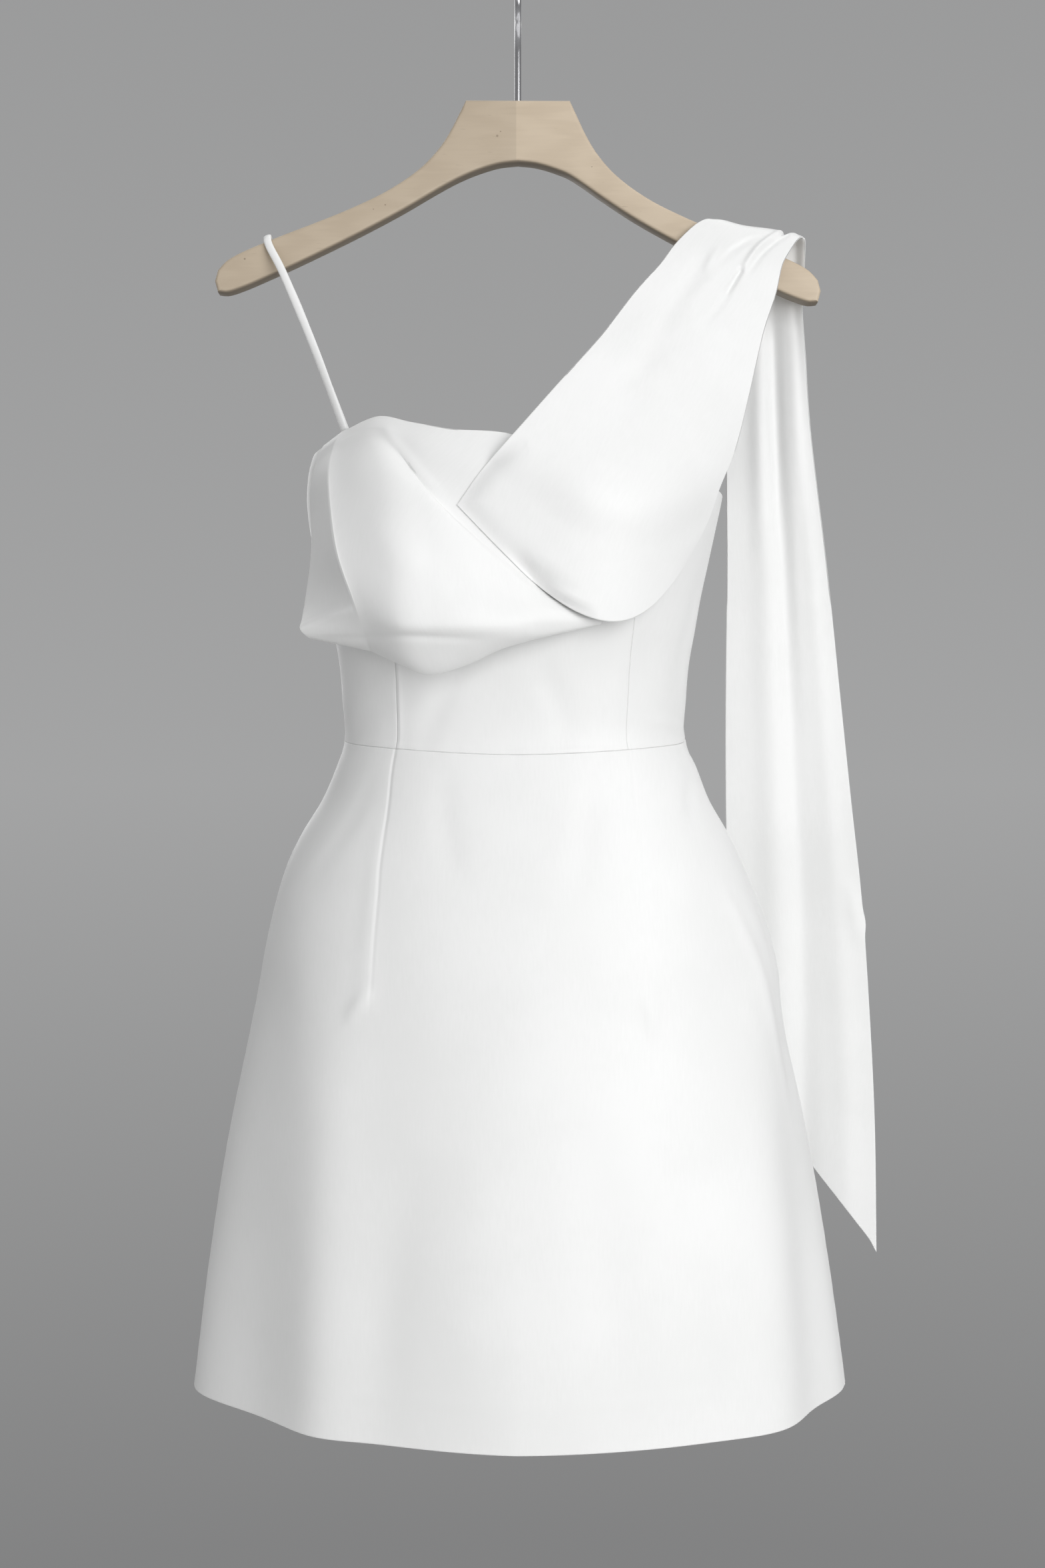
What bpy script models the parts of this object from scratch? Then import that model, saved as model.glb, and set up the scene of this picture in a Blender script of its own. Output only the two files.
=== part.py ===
"""One-shoulder mini dress in heavy satin, hung on a flat wooden hanger.

The dress faces -Y, its tail falls behind its right-hand side (+X), and +Z is up.
The origin is the inner top of the hanger's hook, where a rail along X carries it.
Every cloth piece is an open surface with a wall; seams leave a small gap.
Tables are in millimetres and degrees. An angle runs from +X (right-hand side
seam) through +Y (centre back) to -X (left side seam) and -Y (centre front).
"""
import math

import bmesh
import bpy
from mathutils import Vector

MM = 0.001

# Cloth
WALL = 1.5
GAP = 0.3
SEAM_GAP = 0.36
SIDE_SOFTNESS = 0.05
LEAD = 0.02

# Levels
WAIST_SIDE = -539.0
WAIST_DIP = 12.0
HEM = -987.0
BACK_TOP = -346.0

# Body sections, lowest first:
# level, half-width left, half-width right, depth front, depth back, roundness left, roundness right
BODY = (
    (-995, 228, 232, 131, 110, 1.52, 1.80),
    (-906, 217, 220, 128, 109, 1.60, 1.83),
    (-813, 202, 203, 124, 107, 1.76, 1.88),
    (-720, 182, 181, 118, 104, 1.90, 1.95),
    (-674, 173, 171, 115, 102, 2.00, 2.00),
    (-628, 160, 155, 106, 93, 2.10, 2.10),
    (-604, 149, 145, 99, 85, 2.12, 2.12),
    (-581, 135, 132, 93, 78, 2.15, 2.15),
    (-558, 125, 123, 88, 73, 2.20, 2.20),
    (-540, 119.5, 115, 85, 70, 2.20, 2.20),
    (-512, 121, 116, 89, 73, 2.20, 2.20),
    (-488, 123, 118, 95, 76, 2.20, 2.20),
    (-465, 127, 122, 104, 80, 2.20, 2.20),
    (-442, 132, 126, 112, 83, 2.20, 2.20),
    (-419, 138, 131, 118, 86, 2.20, 2.20),
    (-396, 143, 136, 118, 87, 2.20, 2.20),
    (-372, 145, 141, 113, 86, 2.20, 2.20),
    (-350, 142, 143, 106, 85, 2.20, 2.20),
    (-328, 132, 143, 98, 84, 2.20, 2.20),
)

# Top edge of the bodice: angle, level
NECKLINE = (
    (0, -373), (20, -366), (38, -348), (60, BACK_TOP), (90, BACK_TOP), (130, BACK_TOP + 1),
    (160, -346), (180, -346), (200, -345), (206, -340.5), (212, -336), (225, -334.6), (236, -340.5),
    (250, -345.5), (268, -349.5),
    (282, -360), (300, -368), (320, -371), (340, -373), (360, -373),
)

# Princess seams of the bodice and dart lines of the skirt: level, left angle, right angle
SHAPING = (
    (-720, 227, 308), (-680, 227.4, 308.5), (-640, 226.5, 310.5), (-600, 224, 313), (-552, 221, 315),
    (-510, 222.5, 314), (-440, 228, 309), (-330, 232, 306),
)
DART_END = -716.0
DART_DEPTH = 1.3
DART_HALF_ANGLE = 1.1

# Soft folds of the skirt: angle and level at the top, angle and level at the foot, height, width in degrees.
# A foot far below the hem gives a fold that is highest at the hem: the flanks' flat sides and their corners.
SKIRT_FOLDS = (
    (219, -640, 217, -1334, 6.0, 9.0),
    (196, -640, 195, -1334, -10.5, 12.0),
    (333, -700, 330, -1274, 4.0, 8.0),
    (349, -700, 347, -1274, -14.5, 10.0),
    (344, -606, 352, -745, 3.0, 7.0),
    (338, -640, 344, -800, 2.2, 7.0),
    (205, -640, 212, -800, 1.6, 8.0),
    (150, -640, 144, -880, 2.4, 8.0),
    (34, -640, 40, -880, 2.4, 8.0),
)

# Bust drape: one row a section, from the flank to the right-hand end. Its top edge and its ridge stand
# off the bodice (angle, level, stand); the rest is x, y, z of the chest, the belly, the front of the
# roll, its underside, the tuck and the inner end.
BUST_DRAPE = (
    ((203, -346, 2.1), (203, -356, 4.0), (-137.5, -59, -375), (-136.5, -62, -416), (-139, -77, -452), (-139.7, -88, -470),
     (-132, -85, -476.5), (-121, -73, -470)),
    ((210, -339, 2.1), (210, -352, 4.0), (-122, -91, -374), (-115, -111, -421), (-103, -119.5, -456), (-97, -114, -475),
     (-94, -96, -485), (-94, -80, -476)),
    ((222, -332.2, 2.1), (223, -347, 4.0), (-86, -112, -372), (-78, -128, -416), (-74, -138, -464), (-72, -132, -479),
     (-73, -110, -495), (-73, -84, -482)),
    ((234, -338.4, 2.1), (232, -358, 4.0), (-60, -121, -388), (-54, -131, -424), (-50, -140, -466), (-50, -134, -480),
     (-56, -111, -501), (-56, -89.5, -487)),
    ((247, -344.4, 2.1), (244, -386, 5.0), (-36, -125, -410), (-31, -131, -438), (-28, -138, -468), (-28, -132, -480),
     (-32, -112, -495), (-32, -101, -486)),
    ((271, -352, 2.3), (264, -420, 4.0), (-11, -125, -433), (-9, -127, -449), (-7, -132, -469), (-7, -127, -479),
     (-10, -113, -485), (-10, -107, -474)),
    ((272.5, -388, 3.0), (272.5, -434, 3.4), (4, -122.5, -444), (4.5, -124.5, -456), (5, -127, -469), (5, -122.5, -477.5),
     (3, -112.5, -481), (2.5, -108, -471)),
    ((276, -424, 3.2), (281, -447, 3.2), (19, -118, -454), (18.5, -121, -461), (18, -121, -469), (17.5, -117, -476),
     (16, -111, -477), (15, -108.5, -468)),
    ((296, -453, 3.0), (299, -460, 2.4), (54, -106, -462), (54, -108, -463.5), (54, -109, -466), (53.5, -108, -468.5),
     (52, -105.5, -468.5), (51, -104.5, -464.5)),
)
# The flank meets the front of the drape in a crisp fold at this section
FOLD_EDGE = 1
FOLD_SHARE = 0.14
MIDDLE_SHARE = 1.2

# Shoulder drape: one row a section, from its rounded foot, over the hanger's arm, to the seam behind.
# inner x, y, z, outer x, y, z, sag of the middle, how far the middle stands forward
SHOULDER_DRAPE = (
    (-38, -124.0, -395, 114, -80, -420, 60, 15.5),
    (-22, -123.0, -372, 125, -73, -398, 38, 21),
    (-3, -117.0, -350, 133, -69, -376, 24, 26),
    (25, -89.0, -313, 145, -58, -347, 14, 20),
    (54, -62.0, -275, 155, -45, -311, 9, 12),
    (78, -42.0, -240, 167, -30, -264, 5, 8),
    (97, -24.0, -215, 177, -18, -235, 2, 4),
    (107, -15.5, -200, 182, -14.5, -214, 0, 1.5),
    (120, -11.8, -186, 187, -12.5, -204, 0, 0.5),
    (131, -9.6, -178.0, 194, -8.5, -193.5, 0, 0),
    (139, 0.0, -175.0, 199, 0, -189.5, -1, 0),
    (144, 9.6, -179.5, 201, 9.5, -195, 0, 0),
    (147, 13.5, -199, 201, 15.0, -214, 0, 0),
)
SAG_SKEW = 1.0

# Folds of the shoulder drape: place across and along at each end, depth, width across
SHOULDER_FOLDS = (
    (0.62, 0.72, 0.42, 0.50, -4.0, 0.05),
    (0.54, 0.66, 0.38, 0.42, 3.0, 0.07),
    (0.30, 0.66, 0.26, 0.22, -3.2, 0.08),
    (0.80, 0.80, 0.66, 0.66, -2.0, 0.06),
)

# Tail: one row a section, top to foot: z left, z right, x left, x right, y left, y right
TAIL = (
    (-199.4, -214.4, 147, 201, 13.6, 15.1),
    (-233, -236, 148, 201, 27, 20),
    (-262, -264, 148.5, 204, 33, 24),
    (-320, -320, 149, 209, 37, 29),
    (-414, -414, 150.5, 222, 44, 38),
    (-509, -509, 151, 234, 56, 50),
    (-582, -582, 152.5, 243.5, 68, 60),
    (-656, -656, 155, 253, 78, 68),
    (-700, -735, 155.5, 259, 81, 71),
    (-735, -820, 155.7, 263, 83, 71),
    (-774, -912, 156, 264, 84, 70),
)
# Folds of the tail: place across at the top and foot, depth, width across
TAIL_FOLDS = ((0.40, 0.34, 2.6, 0.10), (0.66, 0.52, -3.4, 0.10), (0.86, 0.80, 2.0, 0.09))

# Back band, from the back's top edge up to the shoulder seam behind the hanger:
# level, x left, x right, y left, y right
BAND_UPPER = (
    (-300, 88, 134, 62, 52),
    (-260, 112, 143, 42, 35),
    (-225, 136, 157, 21, 18),
    (-205, 148, 168, 11.5, 11.5),
    (-192, 151, 171, 8.6, 8.6),
    (-185.2, 151.5, 172, 5.2, 5.2),
    (-184.6, 151.5, 172, -4.8, -4.8),
    (-192, 151, 172, -8.6, -8.6),
    (-200, 150, 172, -8.6, -8.6),
)
BAND_ANGLES = (56, 30)
BAND_FOOT_RISE = 1.0
BAND_SLOPE = 9.0

# Strap: x, y, z of its middle line, from the front edge over the hanger's arm to the back edge
STRAP_WIDTH = 6.0
STRAP_ANGLE_FRONT = 209.0
STRAP_ANGLE_BACK = 153.0
STRAP_RISE = 1.0
STRAP_MIDDLE = (
    (-136, -39, -279), (-160, -17.5, -222), (-171.5, -9.2, -199), (-173.5, -6.4, -191.8), (-174, 0, -189.9),
    (-173.8, 6.4, -191.8), (-172, 9.2, -199), (-157.5, 21, -228), (-139.7, 40, -275), (-125.9, 51, -311),
)
STRAP_ACROSS = Vector((0.918, 0.0, 0.396))
STRAP_TURN = 0.15
STRAP_CROWN = 0.4

# Hanger, left arm: distance from its middle, level of the edge
BLOCK_TOP = -95.5
HANGER_UPPER = (
    (36, -96.2), (40, -104), (46, -116), (54, -128.6), (68, -143.4), (90, -158.4), (115, -170.6),
    (140, -180.8), (165, -190.4), (190, -200.8), (202, -207.5), (208, -214),
)
HANGER_LOWER = (
    (0, -139), (12.5, -140.4), (26, -144.3), (40, -150), (54, -157.4), (80, -172.6), (105, -186),
    (130, -198.5), (155, -210.4), (178, -220.8), (192, -226.6), (202, -229.6), (208, -229),
)
HANGER_TIP = (210.0, -221.5)
HANGER_STEP = 9.0
# How much lower the right arm hangs: distance from the middle, drop
RIGHT_DROP = ((34, 0), (60, 4.0), (100, 6.0), (215, 7.0))
HANGER_THICK = 13.0
HANGER_ROUND = 2.5

# Hook
WIRE = 2.3
HOOK_INNER = 19.0
SHANK_FOOT = -118.0
SHANK_TOP = -62.0
BORE = WIRE + GAP
HOOK_START = -50.0
HOOK_END = 215.0

# Zip
ZIP_TOP = -349.0
ZIP_FOOT = -660.0
TAPE_HALF = 9.0
TAPE_THICK = 0.8
TAPE_GAP = 1.2
SLIDER_SIZE = (5.0, 2.0, 9.0)
SLIDER_TOP = -351.0
SLIDER_STAND = 0.8
CHEEK = (0.9, 3.4, 3.2)
PIN = 0.6
PIN_STAND = 2.0
EYE = 1.6
EYE_LENGTH = 2.4
PULL_SIZE = (4.2, 1.0, 12.0)
NECK_LENGTH = 2.4

SATIN = ("satin", (0.86, 0.86, 0.86, 1.0), 0.42, 0.0)
WOOD = ("wood", (0.60, 0.47, 0.36, 1.0), 0.55, 0.0)
CHROME = ("chrome", (0.72, 0.72, 0.73, 1.0), 0.18, 1.0)
TAPE = ("zip_tape", (0.82, 0.82, 0.82, 1.0), 0.7, 0.0)
ENAMEL = ("white_enamel", (0.84, 0.84, 0.84, 1.0), 0.35, 0.0)


def clear_scene():
    """Take every object out of the open scene."""
    for item in list(bpy.data.objects):
        bpy.data.objects.remove(item, do_unlink=True)


def collection(name):
    """A new collection in the scene."""
    made = bpy.data.collections.new(name)
    bpy.context.scene.collection.children.link(made)
    return made


def finish(spec, part):
    """A part's own material: spec is a base name, a colour, a roughness and a metallic value."""
    base, colour, roughness, metallic = spec
    material = bpy.data.materials.new(f"{base}_{part}")
    material.use_nodes = True
    shader = material.node_tree.nodes["Principled BSDF"]
    shader.inputs["Base Color"].default_value = colour
    shader.inputs["Roughness"].default_value = roughness
    shader.inputs["Metallic"].default_value = metallic
    material.diffuse_color = colour
    return material


def along(rows, key, pick):
    """Smooth value at a key, through rows whose first entry rises. pick takes the value from a row."""
    if key <= rows[0][0]:
        return pick(rows[0])
    if key >= rows[-1][0]:
        return pick(rows[-1])
    at = next(i for i in range(len(rows) - 1) if key <= rows[i + 1][0])
    lower, upper = rows[at], rows[at + 1]
    before, after = rows[max(at - 1, 0)], rows[min(at + 2, len(rows) - 1)]
    span = upper[0] - lower[0]
    rise_in = (pick(upper) - pick(before)) / (upper[0] - before[0]) * span
    rise_out = (pick(after) - pick(lower)) / (after[0] - lower[0]) * span
    t = (key - lower[0]) / span
    return (pick(lower) * (2 * t**3 - 3 * t**2 + 1) + rise_in * (t**3 - 2 * t**2 + t)
            + pick(upper) * (3 * t**2 - 2 * t**3) + rise_out * (t**3 - t**2))


def through(points, t):
    """Point at t, from 0 to 1, on a smooth curve through points."""
    rows = [(i, Vector(p)) for i, p in enumerate(points)]
    return along(rows, t * (len(points) - 1), lambda row: row[1])


def neckline(angle):
    """Level of the bodice's top edge."""
    return along(NECKLINE, angle % 360, lambda row: row[1])


def waistline(angle):
    """Level of the waist seam, which dips at the centre front."""
    front = max(0.0, -math.sin(math.radians(angle)))
    return WAIST_SIDE - WAIST_DIP * front


def shaping(level, side):
    """Angle of the princess seam or dart line; side is 1 for left and 2 for right."""
    return along(SHAPING, level, lambda row: row[side])


def skirt_fold(angle, level):
    """How far the skirt's soft folds and darts lift the surface."""
    lift = 0.0
    for a_top, z_top, a_foot, z_foot, height, width in SKIRT_FOLDS:
        t = (z_top - level) / (z_top - z_foot)
        if 0.0 < t < 1.0:
            centre = a_top + (a_foot - a_top) * t
            away = ((angle - centre + 180.0) % 360.0 - 180.0) / width
            lift += height * math.sin(math.pi * t) * math.exp(-away * away)
    if DART_END < level < waistline(angle):
        depth = (level - DART_END) / (WAIST_SIDE - DART_END)
        for side in (1, 2):
            away = abs(angle % 360 - shaping(level, side)) / DART_HALF_ANGLE
            lift -= DART_DEPTH * min(1.0, 2.0 * depth) * max(0.0, 1.0 - away)
    return lift


def radius(angle, level):
    """Distance from the body's axis to the outer face of the cloth."""
    c, s = math.cos(math.radians(angle)), math.sin(math.radians(angle))
    rounded = (math.hypot(s, SIDE_SOFTNESS) - SIDE_SOFTNESS) / (math.hypot(1.0, SIDE_SOFTNESS) - SIDE_SOFTNESS)
    width = along(BODY, level, lambda row: row[1 if c < 0 else 2])
    depth = along(BODY, level, lambda row: row[3 if s < 0 else 4])
    power = along(BODY, level, lambda row: row[5 if c < 0 else 6])
    reach = (abs(c / width) ** power + abs(rounded / depth) ** power) ** (-1.0 / power)
    return reach + skirt_fold(angle, level)


def on_body(angle, level, out=0.0):
    """Point on the cloth's outer face, moved out along its normal."""
    def place(a, z):
        r = radius(a, z)
        return Vector((r * math.cos(math.radians(a)), r * math.sin(math.radians(a)), z))

    point = place(angle, level)
    if out:
        around = place(angle + 0.5, level) - place(angle - 0.5, level)
        upward = place(angle, level + 0.5) - place(angle, level - 0.5)
        point = point + around.cross(upward).normalized() * out
    return point


def sheet(name, grid, spec, parts, wall=WALL):
    """Cloth piece from a grid of points in millimetres; rows run down and columns along the normal's left hand."""
    bm = bmesh.new()
    rows = [[bm.verts.new(Vector(p) * MM) for p in row] for row in grid]
    for upper, lower in zip(rows, rows[1:]):
        for i in range(len(upper) - 1):
            bm.faces.new((upper[i], lower[i], lower[i + 1], upper[i + 1]))
    mesh = bpy.data.meshes.new(name)
    bm.to_mesh(mesh)
    bm.free()
    mesh.shade_smooth()
    piece = bpy.data.objects.new(name, mesh)
    parts.objects.link(piece)
    mesh.materials.append(finish(spec, name))
    shell = piece.modifiers.new("wall", "SOLIDIFY")
    shell.thickness = wall * MM
    shell.offset = -1.0
    shell.use_even_offset = True
    return piece


def panel(name, left, right, top, foot, columns, rows, parts, out=0.0, spec=SATIN, wall=WALL):
    """Panel between two seams. left and right give a seam's angle at a level, top and foot a level at an angle."""
    grid = []
    for r in range(rows + 1):
        line = []
        for u in columns:
            level = 0.5 * (top(left(WAIST_SIDE)) + foot(left(WAIST_SIDE)))
            for _ in range(4):
                inset = math.degrees(0.5 * SEAM_GAP / radius(left(level), level))
                start, end = left(level) + inset, right(level) - inset
                angle = start + (end - start) * u
                level = top(angle) + (foot(angle) - top(angle)) * r / rows
            line.append(on_body(angle, level, out))
        grid.append(line)
    return sheet(name, grid, spec, parts, wall)


def even(count):
    """Even places from 0 to 1."""
    return [i / count for i in range(count + 1)]


def even_with_lead(count, at_start, at_end):
    """Even places from 0 to 1, with a narrow first or last column beside a side seam."""
    places = even(count)
    return places[:1] + [LEAD] * at_start + places[1:-1] + [1.0 - LEAD] * at_end + places[-1:]


def fixed(angle):
    """A seam that keeps its angle."""
    return lambda level: angle


def skirt_front(parts):
    """Skirt front with its two darts: columns run between the side seams and the dart lines."""
    grid = []
    rows = 15
    places = [0, 2 * LEAD, 0.2, 0.35, 0.5, 0.65, 0.8, 0.95, 1, 1.03, 1.16, 1.33, 1.5, 1.67, 1.84, 1.97,
              2, 2.05, 2.2, 2.35, 2.5, 2.65, 2.8, 3 - 2 * LEAD, 3]
    for r in range(rows + 1):
        line = []
        for u in places:
            level = WAIST_SIDE
            for _ in range(4):
                inset = math.degrees(0.5 * SEAM_GAP / radius(180, level))
                marks = (180 + inset, shaping(level, 1), shaping(level, 2), 360 - inset)
                at = min(int(u), 2)
                angle = marks[at] + (marks[at + 1] - marks[at]) * (u - at)
                top = waistline(angle) - 0.5 * GAP
                level = top + (HEM - top) * (r / rows) ** 1.15
            line.append(on_body(angle, level))
        grid.append(line)
    return sheet("skirt_front", grid, SATIN, parts)


def bust_drape(parts):
    """Cowl folded over the left bust: it hangs from the neckline, rolls under and is caught behind."""
    sections = []
    for top, ridge, *points in BUST_DRAPE:
        middle = [0.5 * (a + b) for a, b in zip(top, ridge)]
        middle[2] *= MIDDLE_SHARE
        sections.append([on_body(*place) for place in (top, middle, ridge)] + [Vector(p) for p in points])
    fold = sections[FOLD_EDGE]
    beside = [[a.lerp(b, FOLD_SHARE) for a, b in zip(fold, sections[FOLD_EDGE + way])] for way in (-1, 1)]
    sections[FOLD_EDGE:FOLD_EDGE + 1] = [beside[0], fold, beside[1]]
    across, down = 28, 24
    grid = []
    for r in range(down + 1):
        line = [through(section, r / down) for section in sections]
        grid.append([through(line, c / across) for c in range(across + 1)])
    return sheet("bust_drape", grid, SATIN, parts)


def shoulder_point(s, t):
    """Point of the shoulder drape: s from 0, inner, to 1, outer, and t from 0, foot, to 1, seam."""
    rows = [(i, row) for i, row in enumerate(SHOULDER_DRAPE)]
    key = t * (len(rows) - 1)
    x0, y0, z0, x1, y1, z1, sag, stand = (
        along(rows, key, lambda row, k=k: float(row[1][k])) for k in range(8))
    drop = math.sin(math.pi * s**SAG_SKEW)
    fold = 0.0
    for s0, t0, s1, t1, depth, width in SHOULDER_FOLDS:
        f = (t0 - t) / (t0 - t1)
        if 0.0 < f < 1.0:
            away = (s - (s0 + (s1 - s0) * f)) / width
            fold += depth * math.sin(math.pi * f) * math.exp(-away * away)
    lean = max(0.0, 1.0 - t)
    return Vector((
        x0 + (x1 - x0) * s + 0.25 * sag * drop,
        y0 + (y1 - y0) * s - stand * drop - fold * lean,
        z0 + (z1 - z0) * s - sag * drop,
    ))


def shoulder_drape(parts):
    """Leaf-shaped fold from the bust, over the hanger's arm, to the shoulder seam behind it."""
    length, across = 33, 12
    grid = [[shoulder_point(c / across, 1.0 - r / length) for c in range(across + 1)] for r in range(length + 1)]
    return sheet("shoulder_drape", grid, SATIN, parts)


def shoulder_tail(parts):
    """Streamer that falls behind the shoulder, cut slanting at its foot."""
    length, across = 24, 10
    rows = [(i, row) for i, row in enumerate(TAIL)]
    grid = []
    for r in range(length + 1):
        t = (r / length) ** 0.85
        key = t * (len(rows) - 1)
        z0, z1, x0, x1, y0, y1 = (along(rows, key, lambda row, k=k: float(row[1][k])) for k in range(6))
        line = []
        for c in range(across + 1):
            s = c / across
            lift = sum(height * math.exp(-((s - a - (b - a) * t) / width) ** 2)
                       for a, b, height, width in TAIL_FOLDS)
            lift *= min(1.0, 6.0 * t) * math.sin(math.pi * min(1.0, max(0.0, s))) ** 0.5
            line.append((x0 + (x1 - x0) * s, y0 + (y1 - y0) * s - lift, z0 + (z1 - z0) * s))
        grid.append(line)
    return sheet("shoulder_tail", grid, SATIN, parts)


def back_band(parts):
    """Plain band from the back's top edge up to the shoulder seam."""
    across, length = 3, 24
    rows = []
    for c in range(across + 1):
        s = c / across
        angle = BAND_ANGLES[1] + (BAND_ANGLES[0] - BAND_ANGLES[1]) * s
        foot = on_body(angle, neckline(angle) + BAND_FOOT_RISE)
        column = [(x1 + (x0 - x1) * s, y1 + (y0 - y1) * s, z - BAND_SLOPE * (1.0 - s) * (z > -260))
                  for z, x0, x1, y0, y1 in reversed(BAND_UPPER)]
        rows.append([Vector(p) for p in column] + [foot])
    grid = [[through(column, r / length) for column in rows] for r in range(length + 1)]
    return sheet("back_shoulder_band", grid, SATIN, parts)


def strap(parts):
    """Narrow strap over the hanger's other arm."""
    half = 0.5 * WALL
    front = on_body(STRAP_ANGLE_FRONT, neckline(STRAP_ANGLE_FRONT) + STRAP_RISE, -half)
    back = on_body(STRAP_ANGLE_BACK, neckline(STRAP_ANGLE_BACK) + STRAP_RISE, -half)
    route = [front, *[Vector(p) for p in STRAP_MIDDLE], back]
    rim_front = on_body(STRAP_ANGLE_FRONT + 1, neckline(STRAP_ANGLE_FRONT + 1)) - on_body(
        STRAP_ANGLE_FRONT - 1, neckline(STRAP_ANGLE_FRONT - 1))
    rim_back = on_body(STRAP_ANGLE_BACK - 1, neckline(STRAP_ANGLE_BACK - 1)) - on_body(
        STRAP_ANGLE_BACK + 1, neckline(STRAP_ANGLE_BACK + 1))
    steps = 3 * (len(route) - 1)
    grid = []
    for i in range(steps + 1):
        t = i / steps
        here = through(route, t)
        ahead = (through(route, min(1.0, t + 0.01)) - through(route, max(0.0, t - 0.01))).normalized()
        rim = rim_front if t < 0.5 else rim_back
        near_rim = max(0.0, 1.0 - min(t, 1.0 - t) / STRAP_TURN)
        side = rim.normalized() * near_rim + STRAP_ACROSS * (1.0 - near_rim)
        if near_rim < 1.0:
            side -= ahead * side.dot(ahead) * (1.0 - near_rim)
        side.normalize()
        out = ahead.cross(side)
        grid.append([here + side * STRAP_WIDTH * w - out * (half - STRAP_CROWN * (1 - 4 * w * w))
                     for w in (-0.5, 0, 0.5)])
    grid.reverse()
    return sheet("strap", grid, SATIN, parts)


def flat_outline(name, points, half_thick, rounding, spec, parts):
    """Closed outline in x and z, extruded about y with rounded edges."""
    curve = bpy.data.curves.new(name, "CURVE")
    curve.dimensions = "2D"
    curve.fill_mode = "BOTH"
    curve.extrude = (half_thick - rounding) * MM
    curve.bevel_depth = rounding * MM
    curve.bevel_resolution = 1
    curve.offset = -rounding * MM
    curve.render_resolution_u = 0
    spline = curve.splines.new("POLY")
    spline.points.add(len(points) - 1)
    for slot, (x, z) in zip(spline.points, points):
        slot.co = (x * MM, z * MM, 0.0, 1.0)
    spline.use_cyclic_u = True
    drawn = bpy.data.objects.new(name + "_outline", curve)
    drawn.rotation_euler = (math.pi / 2, 0.0, 0.0)
    parts.objects.link(drawn)
    bpy.context.view_layer.update()
    mesh = bpy.data.meshes.new_from_object(drawn.evaluated_get(bpy.context.evaluated_depsgraph_get()))
    bm = bmesh.new()
    bm.from_mesh(mesh)
    bmesh.ops.remove_doubles(bm, verts=bm.verts, dist=1e-6)
    bmesh.ops.recalc_face_normals(bm, faces=bm.faces)
    bm.to_mesh(mesh)
    bm.free()
    piece = bpy.data.objects.new(name, mesh)
    piece.matrix_world = drawn.matrix_world
    parts.objects.link(piece)
    bpy.data.objects.remove(drawn, do_unlink=True)
    mesh.materials.clear()
    mesh.materials.append(finish(spec, name))
    return piece


def hanger_outline():
    """Outline of the flat hanger, both arms with round tips."""
    def edge(rows):
        start, end = rows[0][0], rows[-1][0]
        count = math.ceil((end - start) / HANGER_STEP)
        places = [start + (end - start) * i / count for i in range(count + 1)]
        return [(x, along(rows, x, lambda row: row[1])) for x in places]

    arm = [(0, BLOCK_TOP)] + edge(HANGER_UPPER) + [HANGER_TIP] + edge(HANGER_LOWER)[::-1]
    right = [(x, z - along(RIGHT_DROP, x, lambda row: row[1])) for x, z in arm]
    left = [(-x, z) for x, z in arm[::-1] if x > 0]
    return right + left


def cylinder(name, radius_mm, length_mm, middle, turn, parts, sides=16):
    """Cylinder primitive in millimetres, turned by Euler angles."""
    bm = bmesh.new()
    bmesh.ops.create_cone(bm, cap_ends=True, segments=sides, radius1=radius_mm * MM, radius2=radius_mm * MM,
                          depth=length_mm * MM)
    mesh = bpy.data.meshes.new(name)
    bm.to_mesh(mesh)
    bm.free()
    piece = bpy.data.objects.new(name, mesh)
    piece.location = Vector(middle) * MM
    piece.rotation_euler = turn
    parts.objects.link(piece)
    return piece


def block(name, size, middle, parts):
    """Box primitive in millimetres."""
    bm = bmesh.new()
    bmesh.ops.create_cube(bm, size=1.0)
    bmesh.ops.scale(bm, vec=Vector(size) * MM, verts=bm.verts)
    bmesh.ops.translate(bm, vec=Vector(middle) * MM, verts=bm.verts)
    mesh = bpy.data.meshes.new(name)
    bm.to_mesh(mesh)
    bm.free()
    piece = bpy.data.objects.new(name, mesh)
    parts.objects.link(piece)
    return piece


def combine(piece, tool, operation):
    """Boolean modifier whose tool stays hidden."""
    tool.hide_render = True
    tool.display_type = "WIRE"
    change = piece.modifiers.new(tool.name, "BOOLEAN")
    change.operation = operation
    change.solver = "EXACT"
    change.object = tool


def hanger(parts, tools):
    """Flat wooden hanger with a bore for the hook's shank."""
    wood = flat_outline("hanger_wood", hanger_outline(), HANGER_THICK / 2, HANGER_ROUND, WOOD, parts)
    depth = 2.0 * (BLOCK_TOP - SHANK_FOOT) + 2.0
    bore = cylinder("shank_bore", BORE, depth, (0, 0, BLOCK_TOP), (0, 0, 0), tools)
    combine(wood, bore, "DIFFERENCE")
    return wood


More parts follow.
